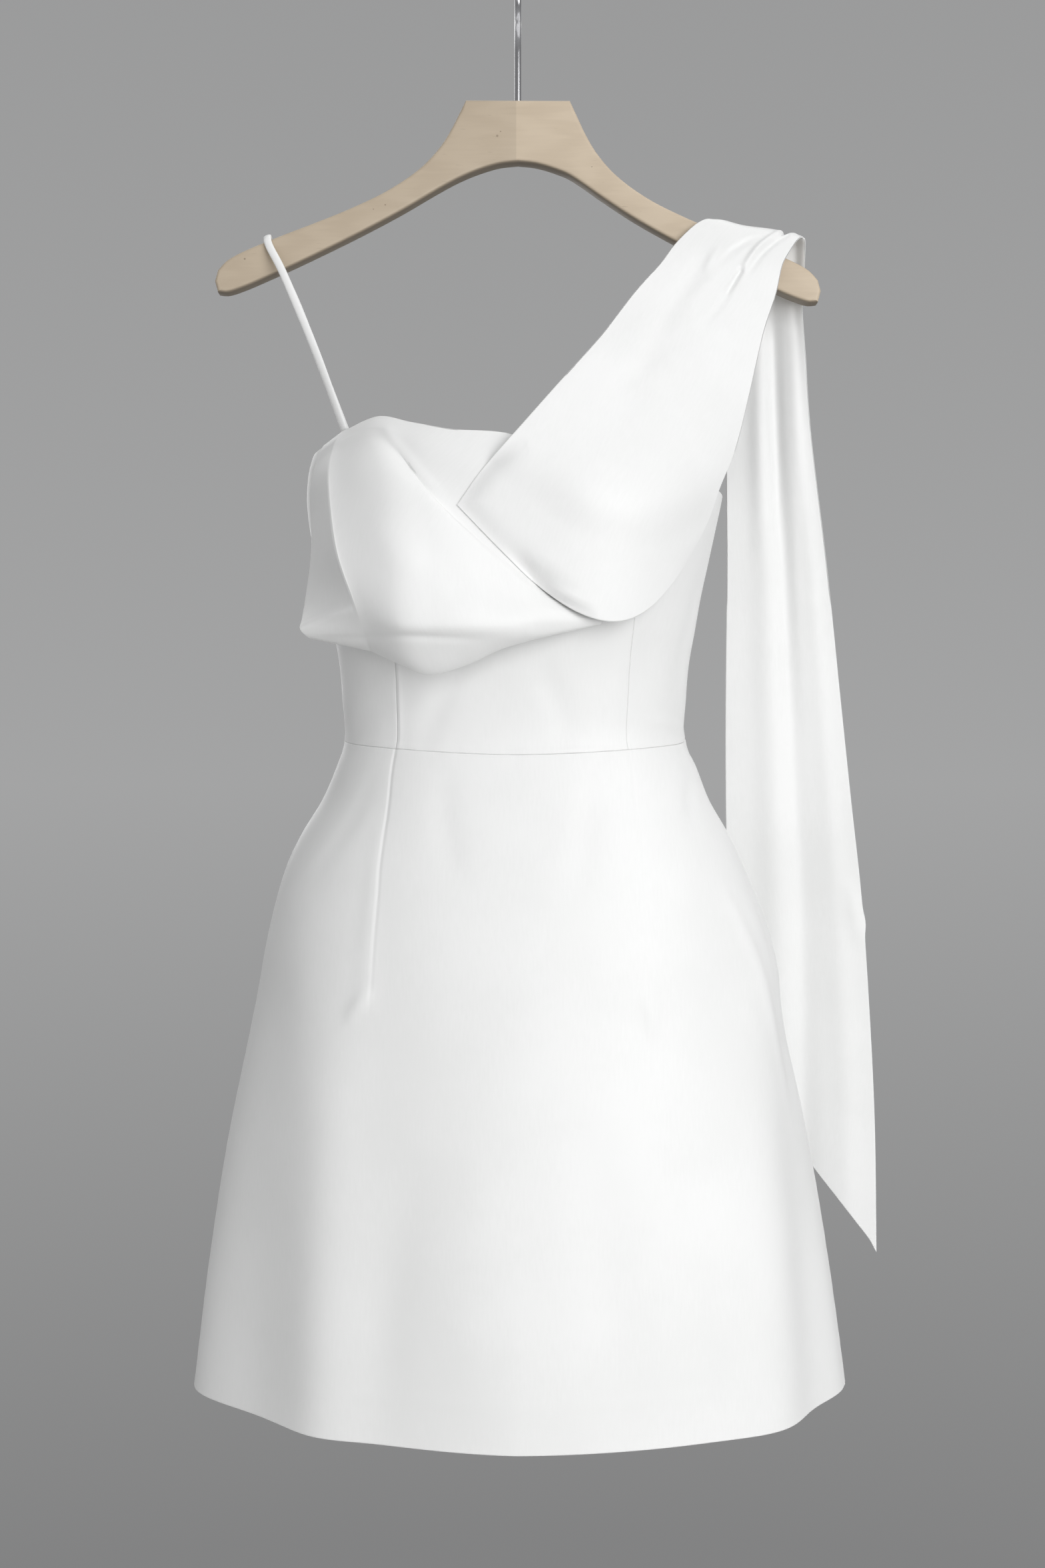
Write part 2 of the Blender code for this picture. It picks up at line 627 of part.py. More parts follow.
def hook(parts):
    """Wire hook: a straight shank, a neck bend and a round crook over the rail."""
    ring = HOOK_INNER + WIRE
    centre = -HOOK_INNER

    def crook(a):
        return Vector((0.0, ring * math.cos(math.radians(a)), centre + ring * math.sin(math.radians(a))))

    start = crook(HOOK_START)
    heading = Vector((0.0, -math.sin(math.radians(HOOK_START)), math.cos(math.radians(HOOK_START))))
    low, pull_low = Vector((0, 0, SHANK_TOP)), Vector((0, 0, SHANK_TOP + 12))
    pull_high = start - heading * 10
    path = [Vector((0, 0, SHANK_FOOT)), Vector((0, 0, 0.5 * (SHANK_FOOT + SHANK_TOP)))]
    for i in range(8):
        t = i / 8
        path.append(low * (1 - t)**3 + pull_low * 3 * t * (1 - t)**2 + pull_high * 3 * t * t * (1 - t) + start * t**3)
    turns = 22
    path += [crook(HOOK_START + (HOOK_END - HOOK_START) * i / turns) for i in range(turns + 1)]
    curve = bpy.data.curves.new("hanger_hook", "CURVE")
    curve.dimensions = "3D"
    curve.bevel_depth = WIRE * MM
    curve.bevel_resolution = 2
    curve.use_fill_caps = True
    curve.render_resolution_u = 0
    spline = curve.splines.new("POLY")
    spline.points.add(len(path) - 1)
    for slot, point in zip(spline.points, path):
        slot.co = (*(point * MM), 1.0)
    wire = bpy.data.objects.new("hanger_hook", curve)
    parts.objects.link(wire)
    curve.materials.append(finish(CHROME, "hanger_hook"))
    return wire


def zip_parts(parts, tools):
    """Concealed zip of the centre back: its tape inside, its slider and its hinged pull outside."""
    spread = math.degrees(TAPE_HALF / 85.0)
    panel("zip_tape", fixed(90 - spread), fixed(90 + spread), lambda a: ZIP_TOP, lambda a: ZIP_FOOT, even(2), 34,
          parts, out=-(WALL + TAPE_GAP), spec=TAPE, wall=TAPE_THICK)
    width, thick, height = SLIDER_SIZE
    face = on_body(90, SLIDER_TOP).y + SLIDER_STAND
    pin_y = face + thick + PIN_STAND
    pin_z = SLIDER_TOP - 0.5 * CHEEK[2]
    across = (0.0, math.pi / 2, 0.0)
    slider = block("zip_slider", SLIDER_SIZE, (0, face + thick / 2, SLIDER_TOP - height / 2), parts)
    slider.data.materials.append(finish(ENAMEL, "zip_slider"))
    cheek_x = EYE_LENGTH / 2 + GAP + CHEEK[0] / 2
    for side in (-1, 1):
        cheek = block(f"cheek_{side + 1}", CHEEK, (side * cheek_x, face + thick + CHEEK[1] / 2 - 0.4, pin_z), tools)
        combine(slider, cheek, "UNION")
    combine(slider, cylinder("pin", PIN, 2 * cheek_x, (0, pin_y, pin_z), across, tools), "UNION")
    pull = block("zip_pull", PULL_SIZE, (0, pin_y, pin_z - PULL_SIZE[2] / 2 - NECK_LENGTH), parts)
    pull.data.materials.append(finish(ENAMEL, "zip_pull"))
    neck = (EYE_LENGTH, PULL_SIZE[1], NECK_LENGTH)
    combine(pull, block("neck", neck, (0, pin_y, pin_z - NECK_LENGTH / 2 - 0.5), tools), "UNION")
    combine(pull, cylinder("eye", EYE, EYE_LENGTH, (0, pin_y, pin_z), across, tools), "UNION")
    combine(pull, cylinder("eye_hole", PIN + GAP, 3 * EYE_LENGTH, (0, pin_y, pin_z), across, tools), "DIFFERENCE")


def build():
    """Build the dress and its hanger."""
    clear_scene()
    parts = collection("one_shoulder_dress")
    tools = collection("cutters")
    hanger(parts, tools)
    hook(parts)

    def bodice_foot(angle):
        return waistline(angle) + 0.5 * GAP

    def skirt_top(angle):
        return waistline(angle) - 0.5 * GAP

    def hem(angle):
        return HEM

    def princess_left(level):
        return shaping(level, 1)

    def princess_right(level):
        return shaping(level, 2)

    panel("bodice_side_front_left", fixed(180), princess_left, neckline, bodice_foot, even_with_lead(5, 1, 0), 10, parts)
    panel("bodice_front", princess_left, princess_right, neckline, bodice_foot, even(10), 10, parts)
    panel("bodice_side_front_right", princess_right, fixed(360), neckline, bodice_foot, even_with_lead(5, 0, 1), 10,
          parts)
    panel("bodice_back_right", fixed(0), fixed(90), neckline, bodice_foot, even_with_lead(8, 1, 0), 10, parts)
    panel("bodice_back_left", fixed(90), fixed(180), neckline, bodice_foot, even_with_lead(8, 0, 1), 10, parts)
    skirt_front(parts)
    panel("skirt_back_right", fixed(0), fixed(90), skirt_top, hem, even_with_lead(8, 1, 0), 14, parts)
    panel("skirt_back_left", fixed(90), fixed(180), skirt_top, hem, even_with_lead(8, 0, 1), 14, parts)
    bust_drape(parts)
    shoulder_drape(parts)
    shoulder_tail(parts)
    back_band(parts)
    strap(parts)
    zip_parts(parts, tools)


build()
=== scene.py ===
"""Looks of the one-shoulder mini dress and its wooden hanger.

The dress faces -Y, its draped shoulder is at +X and the origin is the inner top of
the hanger's hook. Cloth is worked out in millimetres on the same figure, edges and
sections as its solids. An angle runs from +X through +Y (back) to -X and -Y (front).
"""
import logging
import math
from dataclasses import dataclass, field
from enum import Enum
from typing import Callable, Iterable, Sequence

import bpy
import numpy as np
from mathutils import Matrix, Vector
from mathutils.bvhtree import BVHTree

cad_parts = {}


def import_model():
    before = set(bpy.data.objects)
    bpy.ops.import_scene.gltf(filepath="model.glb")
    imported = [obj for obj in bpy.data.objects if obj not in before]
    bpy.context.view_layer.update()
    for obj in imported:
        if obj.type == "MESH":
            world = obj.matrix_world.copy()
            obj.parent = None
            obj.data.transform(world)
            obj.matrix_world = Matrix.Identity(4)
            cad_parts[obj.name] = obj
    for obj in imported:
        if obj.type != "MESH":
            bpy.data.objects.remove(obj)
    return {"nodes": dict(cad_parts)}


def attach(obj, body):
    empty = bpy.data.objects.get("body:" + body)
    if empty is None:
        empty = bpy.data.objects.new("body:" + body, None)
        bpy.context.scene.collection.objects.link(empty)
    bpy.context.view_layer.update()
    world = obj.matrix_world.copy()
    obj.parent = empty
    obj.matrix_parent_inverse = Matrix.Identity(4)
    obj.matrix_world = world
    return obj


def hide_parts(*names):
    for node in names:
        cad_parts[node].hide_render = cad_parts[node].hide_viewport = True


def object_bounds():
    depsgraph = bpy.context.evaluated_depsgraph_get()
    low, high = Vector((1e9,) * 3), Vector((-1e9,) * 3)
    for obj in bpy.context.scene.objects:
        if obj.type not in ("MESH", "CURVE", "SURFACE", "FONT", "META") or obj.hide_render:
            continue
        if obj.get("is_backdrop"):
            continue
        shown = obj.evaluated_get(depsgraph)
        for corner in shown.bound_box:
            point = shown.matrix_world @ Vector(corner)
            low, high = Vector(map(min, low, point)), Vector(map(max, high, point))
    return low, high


LOG = logging.getLogger("dress")
MM = 0.001
Array = np.ndarray
Piece = bpy.types.Object
Finish = bpy.types.Material
Pair = tuple[float, float]
Triple = tuple[float, float, float]
Table = tuple[tuple[float, ...], ...]


def smooth(keys: Array, values: Array, at: Array | float) -> Array:
    """Values on a smooth curve through rows of values.

    Args:
        keys: place of each row along the curve, rising.
        values: the rows, stacked on the first axis.
        at: places that are asked for, kept within the curve's ends.

    Returns:
        The value at each place.
    """
    at = np.clip(np.asarray(at, float), keys[0], keys[-1])
    last = len(keys) - 1
    low = np.clip(np.searchsorted(keys, at) - 1, 0, last - 1)
    high, before, after = low + 1, np.maximum(low - 1, 0), np.minimum(low + 2, last)

    def wide(share: Array) -> Array:
        """Shares shaped to the rows of values."""
        return np.reshape(share, np.shape(share) + (1,) * (values.ndim - 1))

    span = wide(keys[high] - keys[low])
    rise_in = (values[high] - values[before]) / wide(keys[high] - keys[before]) * span
    rise_out = (values[after] - values[low]) / wide(keys[after] - keys[low]) * span
    t = wide(at - keys[low]) / span
    return (values[low] * (2 * t**3 - 3 * t**2 + 1) + rise_in * (t**3 - 2 * t**2 + t)
            + values[high] * (3 * t**2 - 2 * t**3) + rise_out * (t**3 - t**2))


def through(points: Array, places: Array) -> Array:
    """Points at places from 0 to 1 on a smooth curve through others, stacked on the first axis."""
    keys = np.arange(float(len(points)))
    return smooth(keys, points, np.clip(places, 0, 1) * keys[-1])


class Curve:
    """Smooth curve through rows of numbers, keyed by their first entry, which rises."""

    def __init__(self, rows: Sequence[Sequence[float]]) -> None:
        """Keep the rows.

        Args:
            rows: key and values, one row a station.
        """
        table = np.array(rows, float)
        self.keys, self.values = table[:, 0], table[:, 1:]

    def __call__(self, key: Array | float, column: int = 0) -> Array:
        """Value of one column, from 0, at each key."""
        return smooth(self.keys, self.values[:, column], key)

    @classmethod
    def numbered(cls, rows: Sequence[Sequence[float]]) -> "Curve":
        """Curve whose keys are the rows' own numbers, from 0."""
        return cls([(i, *row) for i, row in enumerate(rows)])


def bell(away: Array | float) -> Array:
    """Bell curve: 1 at 0, nearly 0 beyond 2."""
    return np.exp(-np.square(away))


@dataclass(frozen=True)
class Crease:
    """Soft trough or ridge between two places of a piece, in the piece's own two measures.

    Attributes:
        start: where it begins.
        end: where it fades out.
        height: how far it rises, or sinks where it is negative, in millimetres.
        width: half-width across, in millimetres.
        bow: how far its middle swings sideways.
        shoulder: share by which the cloth beside it moves the other way.
        head: 1 where it begins at full height, 0 where it grows from nothing.
    """

    start: Pair
    end: Pair
    height: float
    width: float
    bow: float = 0.0
    shoulder: float = 0.35
    head: float = 0.0

    def lift(self, across: Array, down: Array, scale: float = 1.0) -> Array:
        """Height of the crease over a surface.

        Args:
            across: first measure of each point.
            down: second measure of each point, in millimetres.
            scale: millimetres in one unit of the first measure.

        Returns:
            The lift at each point, in millimetres.
        """
        way = np.array([(self.end[0] - self.start[0]) * scale, self.end[1] - self.start[1]])
        length = float(np.hypot(*way))
        x, y = (across - self.start[0]) * scale, down - self.start[1]
        t = (x * way[0] + y * way[1]) / length**2
        inside = np.clip(t, 0.0, 1.0)
        rise = np.sin(math.pi * inside) ** 0.8
        if self.head:
            rise = np.where(inside < 0.5, self.head + (1 - self.head) * rise, rise)
            rise = rise * bell(np.minimum(t, 0.0) * length / self.width)
        side = (x * way[1] - y * way[0]) / length - self.bow * np.sin(math.pi * inside)
        q = (side / self.width) ** 2
        reached = (t < 1) & ((t > 0) | (self.head > 0))
        return self.height * rise * (1 - self.shoulder * q) * np.exp(-q) * reached


SIDE_NUB = tuple(Crease((side, -527), (side, -551), 1.5, 6.0) for side in (360, 0))


def relief(creases: Iterable[Crease], across: Array, down: Array, scale: float = 1.0) -> Array:
    """Sum of several creases over a surface."""
    return sum((c.lift(across, down, scale) for c in creases), np.zeros_like(across, dtype=float))


def ripple(place: Array, seed: float) -> Array:
    """Uneven wave from -1 to 1 along a place in millimetres, such as a seam's pucker."""
    return (np.sin(place / 2.9 + seed) + 0.7 * np.sin(place / 4.7 + 2.1 * seed)
            + 0.5 * np.sin(place / 1.9 + 3.7 * seed)) / 2.2


def beads(length: float) -> list[float]:
    """Places close to a seam that get their own row or column, as shares of a length in millimetres."""
    return [away / length for away in (0.7, 1.4, 2.4, 4.0)]


def graded(count: int, starts: Sequence[float] = (), ends: Sequence[float] = ()) -> Array:
    """Even places from 0 to 1 with extra ones near the ends.

    Args:
        count: number of even steps.
        starts: extra places beside 0.
        ends: distances of extra places from 1.

    Returns:
        The places, rising.
    """
    places = set(np.linspace(0, 1, count + 1)) | set(starts) | {1 - e for e in ends}
    kept: list[float] = []
    for place in sorted(places):
        if not kept or place - kept[-1] > 1e-4:
            kept.append(float(place))
    kept[-1] = 1.0
    return np.array(kept)


def unit(vectors: Array) -> Array:
    """Vectors brought to length 1."""
    return vectors / np.maximum(np.linalg.norm(vectors, axis=-1, keepdims=True), 1e-9)


def grid_normals(grid: Array) -> Array:
    """Outward normals of a grid.

    Args:
        grid: its points; rows run down and columns to the right, seen from outside.

    Returns:
        The normal at each point.
    """
    across, down = grid[:, 1:] - grid[:, :-1], grid[1:] - grid[:-1]
    faces = unit(np.cross(down[:, :-1] + down[:, 1:], across[:-1] + across[1:]))
    total = np.zeros_like(grid)
    for r, c in ((0, 0), (0, 1), (1, 0), (1, 1)):
        total[r:r + faces.shape[0], c:c + faces.shape[1]] += faces
    return unit(total)


def raised(grid: Array, lift: Array) -> Array:
    """A grid moved out along its normals, in millimetres."""
    return grid + grid_normals(grid) * lift[..., None]


def quads(rows: int, columns: int) -> Array:
    """Faces of a grid, wound as seen from outside."""
    number = np.arange(rows * columns).reshape(rows, columns)
    return np.stack([number[:-1, :-1], number[1:, :-1], number[1:, 1:], number[:-1, 1:]], -1).reshape(-1, 4)


def new_object(name: str, points: Array, faces: list[tuple[int, ...]], uv: Array | None = None) -> Piece:
    """Smooth mesh object from points in millimetres.

    Args:
        name: the piece's name.
        points: one row a vertex.
        faces: vertex numbers of each face.
        uv: flat place of each vertex in metres, if it has one.

    Returns:
        The object, in the scene.
    """
    mesh = bpy.data.meshes.new(name)
    mesh.from_pydata((np.asarray(points, float) * MM).tolist(), [], faces)
    mesh.shade_smooth()
    if uv is not None:
        layer = mesh.uv_layers.new(name="cloth")
        corners = np.zeros(len(mesh.loops), np.int32)
        mesh.loops.foreach_get("vertex_index", corners)
        layer.data.foreach_set("uv", uv[corners].astype(np.float32).ravel())
    mesh.update()
    piece = bpy.data.objects.new(name, mesh)
    bpy.context.scene.collection.objects.link(piece)
    return piece


def fit(piece: Piece, finish: Finish, node: str = "") -> Piece:
    """Give a piece of the dress or hanger its finish, hide the solid that it stands for and attach it to the
    frame's root.

    Args:
        piece: the piece.
        finish: its material.
        node: the solid that it stands for, if there is one.

    Returns:
        The piece.
    """
    piece.data.materials.append(finish)
    if node:
        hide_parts(node)
    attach(piece, "root")
    LOG.info("%s: %d faces", piece.name, len(piece.data.polygons))
    return piece


class Edge(Enum):
    """An edge of a cloth piece, seen from outside."""

    LEFT = "left"
    RIGHT = "right"
    TOP = "top"
    FOOT = "foot"


def boundary(rows: int, columns: int) -> list[tuple[int, int, int, int]]:
    """Edge of a grid as a loop.

    Args:
        rows: how many rows it has.
        columns: how many columns it has.

    Returns:
        Row, column and the way out of the grid, down and across, of each point.
    """
    top = [(0, c, -1, (c == columns - 1) - (c == 0)) for c in range(columns)]
    right = [(r, columns - 1, int(r == rows - 1), 1) for r in range(1, rows)]
    bottom = [(rows - 1, c, 1, -int(c == 0)) for c in range(columns - 2, -1, -1)]
    left = [(r, 0, 0, -1) for r in range(rows - 2, 0, -1)]
    return top + right + bottom + left


def wall(name: str, grid: Array, thick: Array | float, steps: int = 3, sewn: Iterable[Edge] = (),
         tight: float = 0.06) -> Piece:
    """Closed cloth wall under a grid, with a round edge all the way.

    Args:
        name: the piece's name.
        grid: points of the outer face; rows run down and columns to the right, seen from outside.
        thick: the cloth's thickness, one number or one a point.
        steps: faces round the edge.
        sewn: its sewn edges.
        tight: how far the round of a sewn edge reaches in. A free edge is fully round.

    Returns:
        The piece.
    """
    rows, columns = grid.shape[:2]
    normal = grid_normals(grid)
    right = unit(np.gradient(grid, axis=1))
    down = unit(np.gradient(grid, axis=0))
    thick = np.broadcast_to(np.asarray(thick, float), (rows, columns))
    outer = grid.copy()
    inner = grid - normal * thick[..., None]
    loop = boundary(rows, columns)
    rings: list[list[Array]] = [[] for _ in range(steps - 1)]
    for r, c, way_down, way_right in loop:
        radius = 0.5 * thick[r, c]
        side, end = Edge.RIGHT if way_right > 0 else Edge.LEFT, Edge.FOOT if way_down > 0 else Edge.TOP
        out = (right[r, c] * way_right * (tight if side in sewn else radius)
               + down[r, c] * way_down * (tight if end in sewn else radius))
        out = out - normal[r, c] * np.dot(out, normal[r, c])
        outer[r, c] -= out
        inner[r, c] -= out
        for k in range(1, steps):
            turn = math.pi * k / steps
            sunk = normal[r, c] * radius * (1 - math.cos(turn))
            rings[k - 1].append(outer[r, c] + out * math.sin(turn) - sunk)
    count = rows * columns
    points = np.concatenate([outer.reshape(-1, 3), inner.reshape(-1, 3)] + [np.array(ring) for ring in rings])
    front = quads(rows, columns)
    back = front[:, (0, 3, 2, 1)] + count
    edge = [r * columns + c for r, c, *_ in loop]
    size = len(edge)
    levels = [edge] + [[2 * count + k * size + i for i in range(size)] for k in range(steps - 1)]
    levels.append([e + count for e in edge])
    rim = [(upper[i], upper[(i + 1) % size], lower[(i + 1) % size], lower[i])
           for upper, lower in zip(levels, levels[1:]) for i in range(size)]
    flat = flat_places(grid).reshape(-1, 2)
    uv = np.concatenate([flat] * 2 + [flat[edge]] * (steps - 1))
    return new_object(name, points, front.tolist() + back.tolist() + rim, uv)


def flat_places(grid: Array) -> Array:
    """Cloth length across and down to each point of a grid.

    Args:
        grid: its points.

    Returns:
        Two numbers a point, in metres, from the middle and the top.
    """
    u, v = np.zeros(grid.shape[:2]), np.zeros(grid.shape[:2])
    u[:, 1:] = np.cumsum(np.linalg.norm(np.diff(grid, axis=1), axis=2), axis=1)
    v[1:] = np.cumsum(np.linalg.norm(np.diff(grid, axis=0), axis=2), axis=0)
    return np.stack([u - 0.5 * u[:, -1:], -v], -1) * MM


def tube_faces(count: int, sides: int) -> list[tuple[int, ...]]:
    """Faces of a tube with flat ends.

    Args:
        count: number of rings.
        sides: vertices in a ring.

    Returns:
        The vertex numbers of each face.
    """
    faces: list[tuple[int, ...]] = []
    around = [(k, (k + 1) % sides) for k in range(sides)]
    for here in range(0, (count - 1) * sides, sides):
        ahead = here + sides
        faces += [(here + k, here + after, ahead + after, ahead + k) for k, after in around]
    last = (count - 1) * sides
    return faces + [tuple(reversed(range(sides))), tuple(range(last, last + sides))]


def rod(name: str, line: Array, radius: float | Array, sides: int = 6) -> Piece:
    """Round thread or wire along points, with flat ends.

    Args:
        name: the piece's name.
        line: points of its middle.
        radius: its radius, one number or one a point.
        sides: faces round it.

    Returns:
        The piece.
    """
    ahead = unit(np.gradient(line, axis=0))
    side = np.zeros_like(line)
    start = np.cross(ahead[0], (0.0, 0.0, 1.0))
    side[0] = start if np.linalg.norm(start) > 0.1 else np.cross(ahead[0], (1.0, 0.0, 0.0))
    for i in range(1, len(line)):
        side[i] = side[i - 1] - ahead[i] * np.dot(side[i - 1], ahead[i])
    side = unit(side)
    other = np.cross(ahead, side)
    turn = (2 * math.pi * np.arange(sides) / sides)[:, None]
    radius = np.broadcast_to(np.asarray(radius, float), len(line))[:, None, None]
    points = line[:, None] + radius * (side[:, None] * np.cos(turn) + other[:, None] * np.sin(turn))
    return new_object(name, points.reshape(-1, 3), tube_faces(len(line), sides))


class Link:
    """A node's output. Arithmetic on it adds Math nodes."""

    def __init__(self, tree: "Tree", socket: bpy.types.NodeSocket) -> None:
        """Keep the tree and the socket."""
        self.tree, self.socket = tree, socket

    def math(self, operation: str, *values: "Link | float") -> "Link":
        """Math node over this output and more values."""
        inputs = dict(enumerate((self, *values)))
        return self.tree.add("ShaderNodeMath", inputs, settings={"operation": operation})

    def __add__(self, other: "Link | float") -> "Link":
        """Sum."""
        return self.math("ADD", other)

    __radd__ = __add__

    def __mul__(self, other: "Link | float") -> "Link":
        """Product."""
        return self.math("MULTIPLY", other)

    __rmul__ = __mul__

    def __sub__(self, other: "Link | float") -> "Link":
        """Difference."""
        return self.math("SUBTRACT", other)

    def __rsub__(self, other: "Link | float") -> "Link":
        """Difference, the other way round."""
        return self * -1.0 + other

    def __pow__(self, power: "Link | float") -> "Link":
        """Power."""
        return self.math("POWER", power)

    def wave(self) -> "Link":
        """Sine."""
        return self.math("SINE")

    def ramp(self, low: float, high: float) -> "Link":
        """Smooth rise from 0 at low to 1 at high."""
        inputs = {"Value": self, "From Min": low, "From Max": high}
        return self.tree.add("ShaderNodeMapRange", inputs, settings={"interpolation_type": "SMOOTHSTEP"})


class Tree:
    """A material and its nodes. Every node comes from one method."""

    def __init__(self, name: str) -> None:
        """Start a material with a Principled shader.

        Args:
            name: the material's name.
        """
        self.material = bpy.data.materials.new(name)
        self.material.use_nodes = True
        self.tree = self.material.node_tree
        self.shader = self.tree.nodes["Principled BSDF"]

    def add(self, kind: str, inputs: dict[int | str, object], output: int | str = 0,
            settings: dict[str, object] | None = None, stops: Sequence[Pair] = ()) -> Link:
        """Add a node.

        Args:
            kind: Blender's name of the node type.
            inputs: value or link of each socket that is set.
            output: which output is handed back.
            settings: the node's own settings, set first.
            stops: place and grey level of each stop of a colour ramp.

        Returns:
            The output.
        """
        node = self.tree.nodes.new(kind)
        for key, value in (settings or {}).items():
            setattr(node, key, value)
        for i, (place, grey) in enumerate(stops):
            stop = node.color_ramp.elements[i] if i < 2 else node.color_ramp.elements.new(place)
            stop.position, stop.color = place, (grey, grey, grey, 1.0)
        for key, value in inputs.items():
            if isinstance(value, Link):
                self.tree.links.new(value.socket, node.inputs[key])
            else:
                node.inputs[key].default_value = value
        return Link(self, node.outputs[output])

    def place(self) -> Link:
        """Place in the object's own measures, in metres."""
        return self.add("ShaderNodeTexCoord", {}, "Object")

    def cloth_place(self) -> Link:
        """Place on the flat cloth, in metres."""
        return self.add("ShaderNodeTexCoord", {}, "UV")

    def stretch(self, vector: Link, scale: Triple) -> Link:
        """Vector times a scale on each axis."""
        return self.add("ShaderNodeVectorMath", {0: vector, 1: scale}, settings={"operation": "MULTIPLY"})

    def axis(self, vector: Link, name: str) -> Link:
        """One axis of a vector."""
        return self.add("ShaderNodeSeparateXYZ", {0: vector}, name)

    def noise(self, vector: Link, scale: float, detail: float = 2.0) -> Link:
        """Noise from 0 to 1, at so many waves a metre."""
        return self.add("ShaderNodeTexNoise", {"Vector": vector, "Scale": scale, "Detail": detail})

    def blend(self, share: Link, low: Sequence[float], high: Sequence[float] | Link) -> Link:
        """Colour between two others.

        Args:
            share: how much of the second shows.
            low: first colour.
            high: second colour.

        Returns:
            The colour.
        """
        first = (*low, 1.0) if not isinstance(low, Link) else low
        second = (*high, 1.0) if not isinstance(high, Link) else high
        return self.add("ShaderNodeMix", {0: share, 6: first, 7: second}, 2, {"data_type": "RGBA"})

    def bump(self, height: Link, depth: float, below: Link | None = None) -> Link:
        """Bump from a height of 0 to 1.

        Args:
            height: the relief.
            depth: how deep it is, in metres.
            below: a bump that it lies on.

        Returns:
            The normal.
        """
        inputs: dict[int | str, object] = {"Height": height, "Distance": depth, "Strength": 1.0}
        if below is not None:
            inputs["Normal"] = below
        return self.add("ShaderNodeBump", inputs)

    def finish(self, **sockets: object) -> Finish:
        """Set the shader's sockets.

        Args:
            sockets: value or output of each socket, its name with _ for a space.

        Returns:
            The material.
        """
        for key, value in sockets.items():
            socket = self.shader.inputs[key.replace("_", " ")]
            if isinstance(value, Link):
                self.tree.links.new(value.socket, socket)
            else:
                socket.default_value = value
        return self.material


def darker(colour: Triple, part: float) -> Triple:
    """A colour with only part of its brightness."""
    return tuple(part * value for value in colour)


@dataclass(frozen=True)
class Satin:
    """Heavy white satin: a warp that floats over a fine weft, softly slubbed.

    Attributes:
        name: material name.
        white: colour of the lit cloth.
        dusk: colour of its slightly greyer patches.
        gloss: roughness.
        thread: pitch of the warp in metres.
        weave: depth of the weave in metres.
        woven: whether the weave is drawn, for which a piece needs its flat places.
    """

    name: str = "white_satin"
    white: Triple = (0.87, 0.872, 0.868)
    dusk: Triple = (0.835, 0.838, 0.832)
    gloss: float = 0.46
    thread: float = 0.00042
    weave: float = 0.000012
    woven: bool = True

    def material(self) -> Finish:
        """Weave, sheen and soft unevenness of the satin.

        Returns:
            The material.
        """
        tree = Tree(self.name)
        patches = tree.noise(tree.place(), 9.0, 3.0)
        sheen = {"Sheen_Weight": 0.12, "Sheen_Roughness": 0.4, "Specular_IOR_Level": 0.42}
        if not self.woven:
            return tree.finish(Base_Color=tree.blend(patches.ramp(0.36, 0.64), self.white, self.dusk),
                               Roughness=self.gloss, **sheen)
        flat = tree.cloth_place()
        slub = tree.noise(tree.stretch(flat, (700.0, 90.0, 1.0)), 1.0, 3.0)
        turn = 2 * math.pi / self.thread
        warp = (tree.axis(flat, "X") * turn).wave() * 0.5 + 0.5
        weft = (tree.axis(flat, "Y") * (turn / 5) + tree.axis(flat, "X") * (turn / 2.5)).wave() * 0.5 + 0.5
        weave = warp * 0.7 + weft * 0.3
        grey = (patches * 0.75 + slub * 0.25).ramp(0.36, 0.64)
        hand = tree.bump(tree.noise(tree.place(), 45.0, 2.0), 0.0002)
        threads = tree.bump(slub, 0.00002, hand)
        normal = tree.bump(weave, self.weave, threads)
        return tree.finish(Base_Color=tree.blend(grey, self.white, self.dusk),
                           Roughness=slub * 0.08 + (self.gloss - 0.04), Normal=normal, **sheen)


